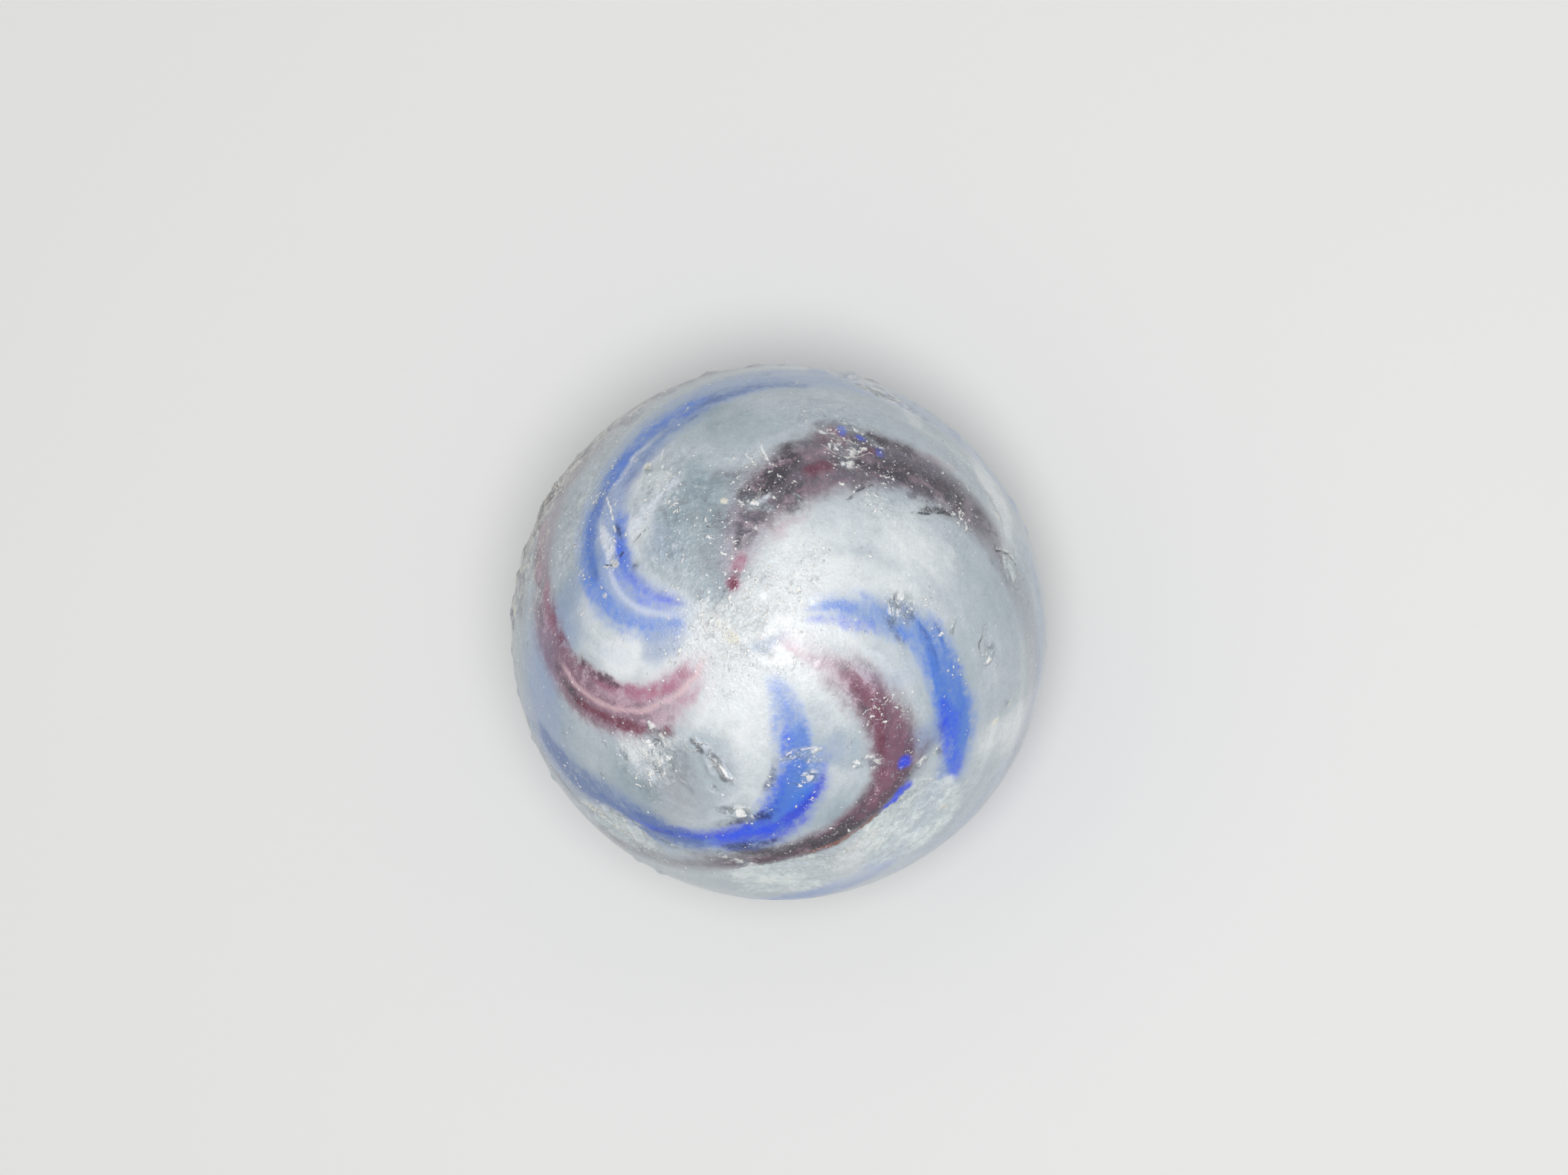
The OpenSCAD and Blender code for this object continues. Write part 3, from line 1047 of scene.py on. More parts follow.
@dataclass(frozen=True)
class Crush:
    """A patch of glass that is crushed to grains.

    Attributes:
        turn: the turn of its middle.
        fall: the fall of its middle.
        along: half its length.
        across: half its breadth.
        spin: the angle of its length to the line from pole to pole.
        amount: how fully it is crushed.
        height: height of the grains.
    """

    turn: float
    fall: float
    along: float
    across: float
    spin: float
    amount: float
    height: float = 0.07

    def carve(self, skin: Skin, wear: Wear) -> None:
        """Breaks the skin up into grains.

        Args:
            skin: the unworn surface.
            wear: the wear so far, which is changed.
        """
        a, b, out = skin.local(self.turn, self.fall, self.spin)
        points = skin.dirs * BALL_R
        ragged = cloud_noise(points, 0.5, 31, 3) - 0.5
        reach = np.sqrt((a / self.along) ** 2 + (b / self.across) ** 2) + 1.3 * ragged
        near = np.where(out > 0, 1 - smooth_step(reach, 0.4, 1.1), 0)
        grains = cloud_noise(points, 0.24, 37, 2)
        wear.radius = wear.radius - self.height * near * smooth_step(1 - grains, 0.3, 0.7)
        wear.crush = np.maximum(wear.crush, self.amount * near)


@dataclass(frozen=True)
class Pits:
    """A scatter of small round pits, or of crumbs that stand up where the depth is less than 0.

    Attributes:
        count: how many are thrown, before those outside the patch are left out.
        smallest: the smallest width.
        largest: the largest width.
        depth_share: depth as a share of the width.
        seed: which scatter is meant.
        within: the patch that they lie in, or the whole ball.
    """

    count: int
    smallest: float
    largest: float
    depth_share: float
    seed: int
    within: Patch | None = None

    def carve(self, skin: Skin, wear: Wear) -> None:
        """Presses every pit into the skin.

        Args:
            skin: the unworn surface.
            wear: the wear so far, which is changed.
        """
        rng = np.random.default_rng(self.seed)
        spots = rng.normal(size=(self.count, 3))
        spots /= np.linalg.norm(spots, axis=1)[:, None]
        sizes = self.smallest + (self.largest - self.smallest) * rng.random(self.count) ** 3
        lots = rng.random(self.count)
        if self.within:
            chosen = self.within.weight(Skin.of(spots)) > lots
            spots, sizes = spots[chosen], sizes[chosen]
        order = np.argsort(skin.dirs[:, 2])
        heights = skin.dirs[order, 2]
        for spot, size in zip(spots, sizes):
            reach = size / BALL_R
            low = np.searchsorted(heights, spot[2] - reach)
            high = np.searchsorted(heights, spot[2] + reach)
            near = order[low:high]
            away = np.linalg.norm(skin.dirs[near] - spot, axis=1) * BALL_R / (size / 2)
            hit = away < 1
            near, away = near[hit], away[hit]
            wear.radius[near] -= self.depth_share * size * (1 - away**2)
            wear.crush[near] = np.maximum(wear.crush[near], 0.2 * (1 - away))


FLAKES = (
    Flake(236, 66, 4.6, 0.5, 200, stop=BANDS[4]),
    Flake(203, 68, 3.86, 0.4, 20, stop=BANDS[4]),
    Flake(164, 65, 3.04, 0.275, 90, crag=0.16),
    Flake(302, 71, 2.39, 0.2, 0, ripple_pitch=0.4, crag=0.12),
)

BRUISES = (
    Bruise(165, 34, 1.65, 0.8),
    Bruise(293, 36, 1.32, 0.7),
    Bruise(82, 31, 0.66, 0.5),
    Bruise(12, 26, 1.1, 0.5),
    Bruise(348, 46, 1.1, 0.6),
    Bruise(322, 75, 1.32, 0.3),
    Bruise(222, 37, 0.77, 0.7),
    Bruise(196, 43, 0.99, 0.7),
    Bruise(241, 43, 0.88, 0.6),
    Bruise(283, 59, 0.88, 0.4),
    Bruise(100, 56, 1.1, 0.4),
    Bruise(50, 66, 0.99, 0.3),
    Bruise(75, 70, 0.88, 0.3),
    Bruise(188, 31, 0.99, 0.3),
)

CRACKS = (
    Crack((184, 28.3), (195.5, 34.9), bow=0.05, depth=0.12, dark=0.95, white=0.9, stray=0.06),
    Crack((182.5, 29.2), (192.5, 34.8), bow=0.04, depth=0.05, dark=0.2, white=0.8, stray=0.07),
    Crack((175, 27.2), (183.5, 29.8), bow=0.06, depth=0.06, dark=0.8, white=0.6, stray=0.07),
    Crack((180.5, 26.6), (185.5, 28.4), bow=0.04, depth=0.05, dark=0.4, white=0.6, stray=0.07),
    Crack((171, 28), (178, 30), bow=-0.08, dark=0.4, white=0.5),
    Crack((73.5, 34), (66, 44.5), bow=-0.04, white=1.0, stray=0.05),
    Crack((77, 29.5), (80, 30.5), depth=0.05, dark=0.9),
    Crack((83.5, 31), (85.5, 33), depth=0.05, dark=0.9),
    Crack((41, 34), (43, 46), bow=0.4, white=0.6),
    Crack((298, 67), (308, 65), bow=-0.2, depth=0.07, dark=0.9, white=0.3),
    Crack((306, 66), (301, 75), bow=0.2, depth=0.05, dark=0.8, white=0.5),
    Crack((297, 70), (300, 76), bow=0.1, depth=0.04, dark=0.4, white=0.5),
    Crack((7, 35), (14, 40), white=0.8),
    Crack((12, 34), (18, 38), white=0.6),
    Crack((4, 24.5), (17, 23), bow=-0.1, depth=0.05, white=0.7, dark=0.3),
    Crack((213, 30.5), (230, 31.5), bow=0.08, depth=0.05, white=0.9, dark=0.2),
    Crack((286, 34.5), (299, 30.5), bow=0.1, white=0.8),
    Crack((287, 35.8), (300, 32.6), bow=0.1, white=0.8),
    Crack((288, 37), (298, 34.8), bow=0.08, white=0.6, dark=0.3),
    Crack((112, 27), (118, 24.5), dark=0.45, white=0.4),
    Crack((62, 28), (72, 28.5), bow=-0.05, dark=0.6, white=0.4),
    Crack((343, 50), (356, 44), bow=0.3, depth=0.04, white=0.5),
    Crack((341, 46), (352, 41), bow=0.2, depth=0.04, white=0.4, dark=0.2),
    Crack((346, 49), (357, 48), bow=-0.1, depth=0.04, white=0.7, dark=0.3),
    Crack((280, 57), (286, 56.5), bow=0.1, depth=0.06, dark=0.7, white=0.3),
    Crack((322.6, 45), (318, 56), bow=-0.08, depth=0.05, dark=0.8, stray=0.08),
    Crack((337.4, 35), (335.5, 43), bow=0.06, depth=0.05, dark=0.7),
    Crack((310, 17), (320, 19), bow=0.06, depth=0.03, dark=0.3, white=0.3),
    Crack((200, 57), (186, 60), bow=0.1, depth=0.05, white=0.5, dark=0.3),
    Crack((161, 58), (170, 64), bow=0.2, depth=0.06, dark=0.7, white=0.5),
    Crack((158, 60), (165, 66), bow=-0.15, depth=0.05, dark=0.3, white=0.7),
)

CRUSHES = (
    Crush(163, 33.2, 0.6, 0.32, 60, 1.0, 0.12),
    Crush(167, 37, 0.45, 0.26, 30, 1.0, 0.12),
    Crush(160, 29.6, 0.5, 0.14, 75, 0.8),
    Crush(170, 34, 0.5, 0.2, 30, 0.6),
    Crush(154, 39.6, 0.35, 0.18, 60, 0.9),
    Crush(178, 38, 0.5, 0.2, 60, 0.4),
    Crush(148, 42, 0.22, 0.14, 60, 0.9),
    Crush(188, 36.9, 0.24, 0.14, 60, 0.9),
    Crush(157, 66.4, 0.6, 0.2, 80, 0.6),
    Crush(166, 68.6, 0.5, 0.2, 80, 0.6),
    Crush(294, 34, 0.8, 0.34, 80, 0.9),
    Crush(289, 37, 0.5, 0.14, 60, 0.7),
    Crush(195, 43, 0.8, 0.2, 70, 0.95),
    Crush(221, 31, 0.85, 0.12, 82, 0.95),
    Crush(227, 34, 0.4, 0.12, 60, 0.6),
    Crush(239, 41, 0.6, 0.18, 60, 0.9),
    Crush(243, 45, 0.4, 0.14, 60, 0.6),
    Crush(248, 52, 0.5, 0.22, 80, 0.8),
    Crush(254, 54, 0.4, 0.18, 0, 0.8),
    Crush(240, 58, 0.9, 0.25, 80, 0.6),
    Crush(350, 45, 0.8, 0.35, 60, 0.8),
    Crush(356, 48, 0.7, 0.2, 80, 0.8),
    Crush(350, 53, 1.2, 0.16, 85, 0.7),
    Crush(10, 25, 0.8, 0.2, 82, 0.9),
    Crush(352, 29, 0.5, 0.14, 70, 0.5),
    Crush(98, 53, 0.9, 0.3, 80, 0.7),
    Crush(51, 41, 0.3, 0.16, 0, 0.8),
    Crush(194, 59, 0.9, 0.35, 60, 0.7),
    Crush(175, 58, 0.5, 0.2, 60, 0.6),
    Crush(162, 61, 0.6, 0.35, 60, 0.8),
    Crush(281, 59, 0.5, 0.3, 60, 0.8),
    Crush(287, 57, 0.3, 0.16, 60, 0.5),
    Crush(287, 47.5, 0.3, 0.1, 80, 0.6),
    Crush(271, 70, 0.3, 0.14, 0, 0.6),
    Crush(315, 73, 1.0, 0.3, 80, 0.5),
    Crush(354, 74, 1.0, 0.3, 85, 0.8),
    Crush(320, 57, 1.0, 0.25, 40, 0.4),
)


# ---------------------------------------------------------------- the skin's mesh


@dataclass
class MarbleSkin:
    """The marble's whole outer surface as one closed mesh.

    Attributes:
        name: name of the piece.
        cells: faces along an edge of the cube that the ball is blown up from.
        wave: height of the long waves that hand shaping left, in millimetres.
        frost: height of the fine roughness, in millimetres.
        pits: the scatters of small pits and crumbs.
    """

    name: str = "marble_skin"
    cells: int = 128
    wave: float = 0.05
    frost: float = 0.012
    pits: tuple[Pits, ...] = (
        Pits(900, 0.2, 0.5, 0.08, 3),
        Pits(160, 0.3, 0.9, 0.05, 4),
        Pits(1500, 0.25, 0.6, 0.1, 5, Patch(80, 72, 6.0, 2.4, 90, 0.9)),
        Pits(1300, 0.34, 0.85, -0.13, 6, Patch(84, 80, 7.5, 1.8, 90, 1.0)),
        Pits(260, 0.4, 0.8, -0.1, 7, Patch(0, 90, 7.0, 1.5, 90, 0.6)),
        Pits(420, 0.4, 0.85, -0.15, 8, Patch(28, 82.5, 6.5, 1.3, 90, 0.9)),
        Pits(90, 0.3, 0.5, -0.2, 9, Patch(135, 83, 6.0, 1.3, 90, 0.8)),
    )

    def grid(self) -> tuple[Array, Array]:
        """Blows a cube up to a ball.

        Returns:
            The directions of the vertices, and the four vertices of each face.
        """
        steps = np.tan(np.linspace(-math.pi / 4, math.pi / 4, self.cells + 1))
        u, v = np.meshgrid(steps, steps, indexing="ij")
        one = np.ones_like(u)
        sheets = []
        for axis in range(3):
            for side in (1, -1):
                parts = [one, one, one]
                parts[axis] = side * one
                parts[(axis + 1) % 3] = u * side
                parts[(axis + 2) % 3] = v
                sheets.append(np.stack(parts, -1).reshape(-1, 3))
        dirs = np.concatenate(sheets)
        dirs /= np.linalg.norm(dirs, axis=1)[:, None]
        rounded = np.round(dirs, 7)
        _, first, same = np.unique(rounded, axis=0, return_index=True, return_inverse=True)
        same = same.reshape(-1)
        n = self.cells + 1
        corner = np.arange(n * n).reshape(n, n)
        corners = (corner[:-1, :-1], corner[1:, :-1], corner[1:, 1:], corner[:-1, 1:])
        quad = np.stack(corners, -1).reshape(-1, 4)
        quads = np.concatenate([quad + i * n * n for i in range(6)])
        return dirs[first], same[quads]

    def worn(self, skin: Skin) -> Wear:
        """Wears the skin.

        Args:
            skin: the unworn surface.

        Returns:
            The wear of every vertex.
        """
        points = skin.dirs * BALL_R
        waves = cloud_noise(points, 5.0, 1, 2) - 0.5
        grain = cloud_noise(points, 0.35, 2, 2) - 0.5
        radius = BALL_R - self.wave / 2 + self.wave * waves + self.frost * grain
        zero = np.zeros(len(points))
        wear = Wear(radius, zero, zero + 0.5, zero.copy(), zero + 1, zero.copy(), zero.copy())
        for piece in (*FLAKES, *BRUISES, *CRACKS, *CRUSHES, *self.pits):
            piece.carve(skin, wear)
        return wear

    def fields(self, skin: Skin, wear: Wear) -> dict[str, Array]:
        """Works out the values that the finish reads.

        Args:
            skin: the unworn surface.
            wear: the wear of every vertex.

        Returns:
            One value for each vertex, by name.
        """
        made: dict[str, Array] = {}
        for glass in Glass:
            bands = [band for band in BANDS if band.glass is glass]
            depth = np.stack([band.inside(skin) for band in bands])
            best = depth.argmax(0)
            made[f"{glass.value}_in"] = depth.max(0)
            for name in ("tone", "hold"):
                values = np.stack([getattr(band, name).straight(skin.fall) for band in bands])
                made[f"{glass.value}_{name}"] = np.take_along_axis(values, best[None], 0)[0]
        made["vein_at"] = np.clip(VEIN.offset(skin), -VEIN_REACH, VEIN_REACH)
        made["vein_show"] = VEIN.show.straight(skin.fall)
        made["streak"] = streaks(skin)
        loose, close = skin.drifted(0.9, 0.5), skin.drifted(0.6, 0.16)
        from_pole = np.minimum(loose.fall, 180 - loose.fall)
        # white: the milk glass's clouds, with painted glare near the pole
        made["white"] = WHITENESS_AND_POLE_GLARE.straight(from_pole) + sum(cloud.weight(loose) for cloud in CLOUDS)
        made["cast"] = sum(patch.weight(loose) for patch in CASTS)
        made["grit_and_glints"] = strongest(GRIT_AND_GLINTS, loose)
        made["crust"] = strongest(CRUST, loose)
        for stain, marks in STAINS.items():
            made[f"{stain.value}_stain"] = strongest(marks, close)
        for name in ("fresh", "ridge", "crush", "seam_at", "seam_dark", "seam_white"):
            made[name] = getattr(wear, name)
        return made

    def build(self) -> bpy.types.Object:
        """Makes the mesh and hangs the finish's fields on it.

        Returns:
            The piece.
        """
        dirs, quads = self.grid()
        skin = Skin.of(dirs)
        wear = self.worn(skin)
        mesh = bpy.data.meshes.new(self.name)
        places = dirs * wear.radius[:, None] * MM
        mesh.from_pydata(places.tolist(), [], quads.tolist())
        mesh.polygons.foreach_set("use_smooth", np.ones(len(quads), bool))
        for name, values in self.fields(skin, wear).items():
            layer = mesh.attributes.new(name, "FLOAT", "POINT")
            layer.data.foreach_set("value", values.astype(np.float32))
        mesh.update()
        piece = bpy.data.objects.new(self.name, mesh)
        bpy.context.scene.collection.objects.link(piece)
        return piece


# ---------------------------------------------------------------- shader maths


class Wire:
    """A shader value that takes part in Python arithmetic: each operator adds its Math node."""

    def __init__(self, bench: "Bench", socket: bpy.types.NodeSocket) -> None:
        """Wraps a socket.

        Args:
            bench: the tree that the socket belongs to.
            socket: an output socket.
        """
        self.bench = bench
        self.socket = socket

    def math(self, operation: str, *others: "Wire | float", clamp: bool = False) -> "Wire":
        """Takes this value and others through one Math node.

        Args:
            operation: Blender's name for the sum.
            others: the values after this one.
            clamp: whether the result is held between 0 and 1.

        Returns:
            The result.
        """
        settings = {"operation": operation, "use_clamp": clamp}
        return self.bench.node("ShaderNodeMath", settings, dict(enumerate((self, *others))))

    def __add__(self, other: "Wire | float") -> "Wire":
        """self + other."""
        return self.math("ADD", other)

    __radd__ = __add__

    def __sub__(self, other: "Wire | float") -> "Wire":
        """self - other."""
        return self.math("SUBTRACT", other)

    def __rsub__(self, other: float) -> "Wire":
        """other - self."""
        return self.bench.node("ShaderNodeMath", {"operation": "SUBTRACT"}, {0: other, 1: self})

    def __mul__(self, other: "Wire | float") -> "Wire":
        """self * other."""
        return self.math("MULTIPLY", other)

    __rmul__ = __mul__

    def larger(self, other: "Wire | float") -> "Wire":
        """The larger of the two."""
        return self.math("MAXIMUM", other)

    def size(self) -> "Wire":
        """This value without its sign."""
        return self.math("ABSOLUTE")

    def clamp(self) -> "Wire":
        """This value held between 0 and 1."""
        return self.math("ADD", 0.0, clamp=True)

    def rise(self, low: float, high: float) -> "Wire":
        """0 at low, 1 at high, and a smooth rise between, where high may be less than low."""
        inputs = {"Value": self, "From Min": low, "From Max": high}
        return self.bench.node("ShaderNodeMapRange", {"interpolation_type": "SMOOTHSTEP"}, inputs)


Colour = tuple[float, float, float]


def tint(red: int, green: int, blue: int) -> Colour:
    """Turns a colour as the eye sees it into the light it reflects.

    Args:
        red: its red, from 0 to 255.
        green: its green, from 0 to 255.
        blue: its blue, from 0 to 255.

    Returns:
        Red, green and blue light, each from 0 to 1.
    """
    shares = (c / 255 for c in (red, green, blue))
    return tuple(s / 12.92 if s <= 0.04045 else ((s + 0.055) / 1.055) ** 2.4 for s in shares)


class Bench:
    """The node tree of a material or a world, and the few ways in which its nodes are made."""

    def __init__(self, owner: bpy.types.Material | bpy.types.World) -> None:
        """Empties the owner's tree.

        Args:
            owner: the material or the world whose nodes are made.
        """
        owner.use_nodes = True
        self.owner = owner
        self.tree = owner.node_tree
        self.tree.nodes.clear()

    @cached_property
    def place(self) -> Wire:
        """The place on the piece, in millimetres."""
        return self.scaled(self.node("ShaderNodeTexCoord", {}, {}, "Object"), 1 / MM)

    def add(self, kind: str, settings: dict, inputs: dict) -> bpy.types.Node:
        """Makes a node.

        Args:
            kind: Blender's name for the type of node.
            settings: properties, set before the inputs.
            inputs: values or wires by socket name or number.

        Returns:
            The node.
        """
        made = self.tree.nodes.new(kind)
        for name, value in settings.items():
            setattr(made, name, value)
        for key, value in inputs.items():
            socket = made.inputs[key]
            if isinstance(value, Wire):
                self.tree.links.new(value.socket, socket)
            else:
                socket.default_value = (*value, 1) if socket.type == "RGBA" else value
        return made

    def node(self, kind: str, settings: dict, inputs: dict, output: str | int = 0) -> Wire:
        """Makes a node for the sake of one of its outputs.

        Args:
            kind: Blender's name for the type of node.
            settings: properties, set before the inputs.
            inputs: values or wires by socket name or number.
            output: name or number of the output that is wanted.

        Returns:
            The wanted output.
        """
        return Wire(self, self.add(kind, settings, inputs).outputs[output])

    def mix(self, share: Wire, first: Wire | Colour, second: Wire | Colour) -> Wire:
        """Makes a colour between two others.

        Args:
            share: 0 for the first colour, 1 for the second.
            first: a colour.
            second: another colour.

        Returns:
            The mixed colour.
        """
        return self.node("ShaderNodeMix", {"data_type": "RGBA"}, {0: share, 6: first, 7: second}, 2)

    def field(self, name: str) -> Wire:
        """The value of that name that the mesh carries."""
        return self.node("ShaderNodeAttribute", {"attribute_name": name}, {}, "Fac")

    def scaled(self, vector: Wire, by: Wire | float) -> Wire:
        """The vector or colour with each of its parts multiplied."""
        return self.node("ShaderNodeVectorMath", {"operation": "SCALE"}, {0: vector, "Scale": by})

    def shifted(self, place: Wire, by: Wire | tuple[float, float, float]) -> Wire:
        """The place moved by a vector."""
        return self.node("ShaderNodeVectorMath", {"operation": "ADD"}, {0: place, 1: by})

    def noise(
        self, per_mm: float, detail: float = 2.0, distortion: float = 0.0, offset: float = 0.0
    ) -> Wire:
        """Makes soft random values about 0.5.

        Args:
            per_mm: how often the value changes in a millimetre.
            detail: how many finer layers there are.
            distortion: how far the values are swirled.
            offset: moves the noise along, so that two noises differ.

        Returns:
            The random value.
        """
        place = self.shifted(self.place, (offset, offset, offset))
        inputs = {"Vector": place, "Scale": per_mm, "Detail": detail, "Distortion": distortion}
        return self.node("ShaderNodeTexNoise", {}, inputs, "Fac")

    def warped(self, per_mm: float, amount: float, seed: float) -> Wire:
        """Pushes the place about by soft noise, so that round cells get ragged outlines.

        Args:
            per_mm: how often the push changes in a millimetre.
            amount: the longest push, in millimetres.
            seed: moves the result along, so that two fields of cells differ.

        Returns:
            The pushed place, in millimetres.
        """
        inputs = {"Vector": self.place, "Scale": per_mm, "Detail": 1.0}
        push = self.scaled(self.node("ShaderNodeTexNoise", {}, inputs, "Color"), amount)
        return self.shifted(self.shifted(self.place, push), (seed, seed, seed))

    def cells(self, place: Wire, per_mm: float) -> tuple[Wire, Callable[[str], Wire]]:
        """Divides space into cells.

        Args:
            place: the place in millimetres.
            per_mm: cells in a millimetre.

        Returns:
            The distance from the cell's middle in cells, and a random number of each cell for each
            of the names Red, Green and Blue.
        """
        inputs = {"Vector": place, "Scale": per_mm}
        away = self.node("ShaderNodeTexVoronoi", {}, inputs, "Distance")
        lot = self.node("ShaderNodeTexVoronoi", {}, inputs, "Color")
        return away, lambda name: self.node("ShaderNodeSeparateColor", {}, {"Color": lot}, name)

    def specks(self, per_mm: float, share: Wire, size: float) -> Wire:
        """Makes small ragged specks.

        Args:
            per_mm: cells in a millimetre.
            share: share of the cells that hold a speck.
            size: radius of the largest speck, as a share of a cell.

        Returns:
            1 in a speck, 0 outside.
        """
        away, lot = self.cells(self.warped(per_mm * 1.7, 0.6 / per_mm, per_mm), per_mm)
        bigness = lot("Green") * 0.6 + 0.4
        chosen = (share - lot("Red")).rise(0.0, 0.02)
        return (chosen * bigness * size - away).rise(0.0, 0.14)

    def grains(self, per_mm: float) -> tuple[Wire, Wire]:
        """Makes broken facets.

        Args:
            per_mm: grains in a millimetre.

        Returns:
            The height within each grain, and a random number for each grain.
        """
        away, lot = self.cells(self.warped(per_mm, 0.5 / per_mm, 40 + per_mm), per_mm)
        pick = lot("Blue")
        return pick - away * 0.5, pick

    def finish(self, kind: str, shader: Wire) -> bpy.types.Material | bpy.types.World:
        """Ends the tree.

        Args:
            kind: Blender's name for the type of output node.
            shader: what the tree comes to.

        Returns:
            The owner of the tree.
        """
        self.add(kind, {}, {"Surface": shader})
        return self.owner


# ---------------------------------------------------------------- finishes


@dataclass(frozen=True)
class MilkTints:
    """Colours of the milk glass; some also serve as painted glints and as painted shade and light
    on broken ground.
    """

    clear: Colour = tint(132, 152, 162)
    plain: Colour = tint(178, 190, 198)
    white: Colour = tint(232, 236, 238)
    cool: Colour = tint(146, 166, 208)
    warm: Colour = tint(156, 146, 146)
    # low and high: the broken ground's tones, partly painted shade in its low parts and painted
    # light on its high parts.
    low: Colour = tint(197, 208, 213)
    high: Colour = tint(230, 237, 236)
    # Near-white of crushed grains and bright crack edges, also laid as painted glints.
    grains: Colour = tint(252, 252, 250)
    shade: Colour = tint(58, 60, 70)
    vein: Colour = tint(210, 218, 238)
    dull: Colour = tint(122, 116, 126)
    chalk: Colour = tint(226, 224, 210)


@dataclass(frozen=True)
class BlueTints:
    """Colours of the blue glass."""

    pale: Colour = tint(144, 170, 214)
    plain: Colour = tint(80, 128, 214)
    deep: Colour = tint(34, 70, 220)
    navy: Colour = tint(44, 66, 130)


@dataclass(frozen=True)
class AmethystTints:
    """Colours of the amethyst glass."""

    pale: Colour = tint(196, 158, 176)
    plain: Colour = tint(128, 82, 104)
    deep: Colour = tint(84, 66, 82)
    salt: Colour = tint(190, 170, 184)
    pepper: Colour = tint(50, 44, 58)


@dataclass(frozen=True)
class Pigment:
    """How one kind of stain is laid on.

    Attributes:
        colour: its colour.
        low: the stain's value at which it begins to show.
        high: the value at which it shows fully.
        cover: how much it hides of what it is laid on.
        ragged: how broken its edge is.
    """

    colour: Colour
    low: float = 0.05
    high: float = 1.1
    cover: float = 0.8
    ragged: float = 1.0


PIGMENTS: dict[Stain, Pigment] = {
    Stain.SMOKE: Pigment(tint(92, 88, 102), cover=0.62, ragged=2.6),
    Stain.ROSE: Pigment(tint(172, 92, 124), cover=0.85),
    Stain.CRIMSON: Pigment(tint(112, 30, 60), cover=0.78),
    Stain.CHARCOAL: Pigment(tint(60, 56, 66), 0.1, 1.1, 0.8, 2.0),
    Stain.RUST: Pigment(tint(140, 88, 72), cover=0.8),
    Stain.BLUSH: Pigment(tint(232, 198, 204), cover=0.85, ragged=0.6),
    Stain.STEEL: Pigment(tint(72, 106, 168), cover=0.8, ragged=1.3),
    Stain.AZURE: Pigment(tint(72, 128, 228), cover=0.8),
    Stain.BLUE: Pigment(tint(32, 82, 240), cover=0.9),
    Stain.NAVY: Pigment(tint(20, 28, 68), cover=0.85, ragged=1.5),
    Stain.PEARL: Pigment(tint(222, 228, 238), cover=0.9),
    Stain.COBALT: Pigment(tint(40, 76, 236), cover=0.95, ragged=0.7),
    Stain.CREAM: Pigment(tint(236, 232, 216), 0.15, 1.0, 0.8, 1.6),
}


class Coat(Bench):
    """A bench on which a finish is laid in layers, with the random values that the layers share.

    Attributes:
        colour: the colour so far.
        height: the relief so far.
        rough: the roughness so far.
    """

    def __init__(self, owner: bpy.types.Material, ground: Colour) -> None:
        """Makes the shared values and starts from glass of one colour.

        Args:
            owner: the material whose nodes are made.
            ground: the colour of that glass.
        """
        super().__init__(owner)
        self.broad = self.noise(0.45, 2) - 0.5
        self.ragged = self.noise(1.5, 3, offset=3.0) - 0.5
        self.clots = self.noise(2.9, 4, distortion=0.5, offset=41.0) - 0.5
        self.fine = self.noise(5.0, 3, offset=9.0) - 0.5
        self.grain = self.noise(13.0, 2, offset=13.0) - 0.5
        self.streak = self.field("streak") - 0.5
        # grit and glints: roughens the relief and tone, and sets how dense the painted glints are
        self.grit_and_glints = self.field("grit_and_glints")
        self.edge = self.ragged * 0.5 + self.fine * 0.55 + self.grain * 0.35 + self.streak * 0.5
        self.colour: Wire | Colour = ground
        self.height = self.ragged * 0.6 + self.fine * (self.grit_and_glints * 1.1 + 0.35)
        self.height = self.height + self.grain * (self.grit_and_glints * 1.1 + 0.25)
        self.rough = self.ragged * 0.35 + 0.36

    def lay(self, share: Wire, colour: Wire | Colour) -> None:
        """Lays a colour over what is there, as thickly as the share says."""
        self.colour = self.mix(share, self.colour, colour)

    def tones(self, tone: Wire, pale: Colour, plain: Colour, deep: Colour) -> Wire:
        """The colour of a glass: pale where the tone is 0, plain at one half and deep at 1."""
        thin = self.mix(tone.rise(0.0, 0.5), pale, plain)
        return self.mix(tone.rise(0.5, 1.0), thin, deep)

    def stain(self, edge: Wire, *stains: Stain) -> None:
        """Lays stains over what is there, one after the other.

        Args:
            edge: soft random values that break up the stains' edges.
            stains: which stains.
        """
        for stain in stains:
            pigment = PIGMENTS[stain]
            broken = self.field(f"{stain.value}_stain") * (edge * pigment.ragged * 2.0 + 1.0)
            self.lay(broken.rise(pigment.low, pigment.high) * pigment.cover, pigment.colour)


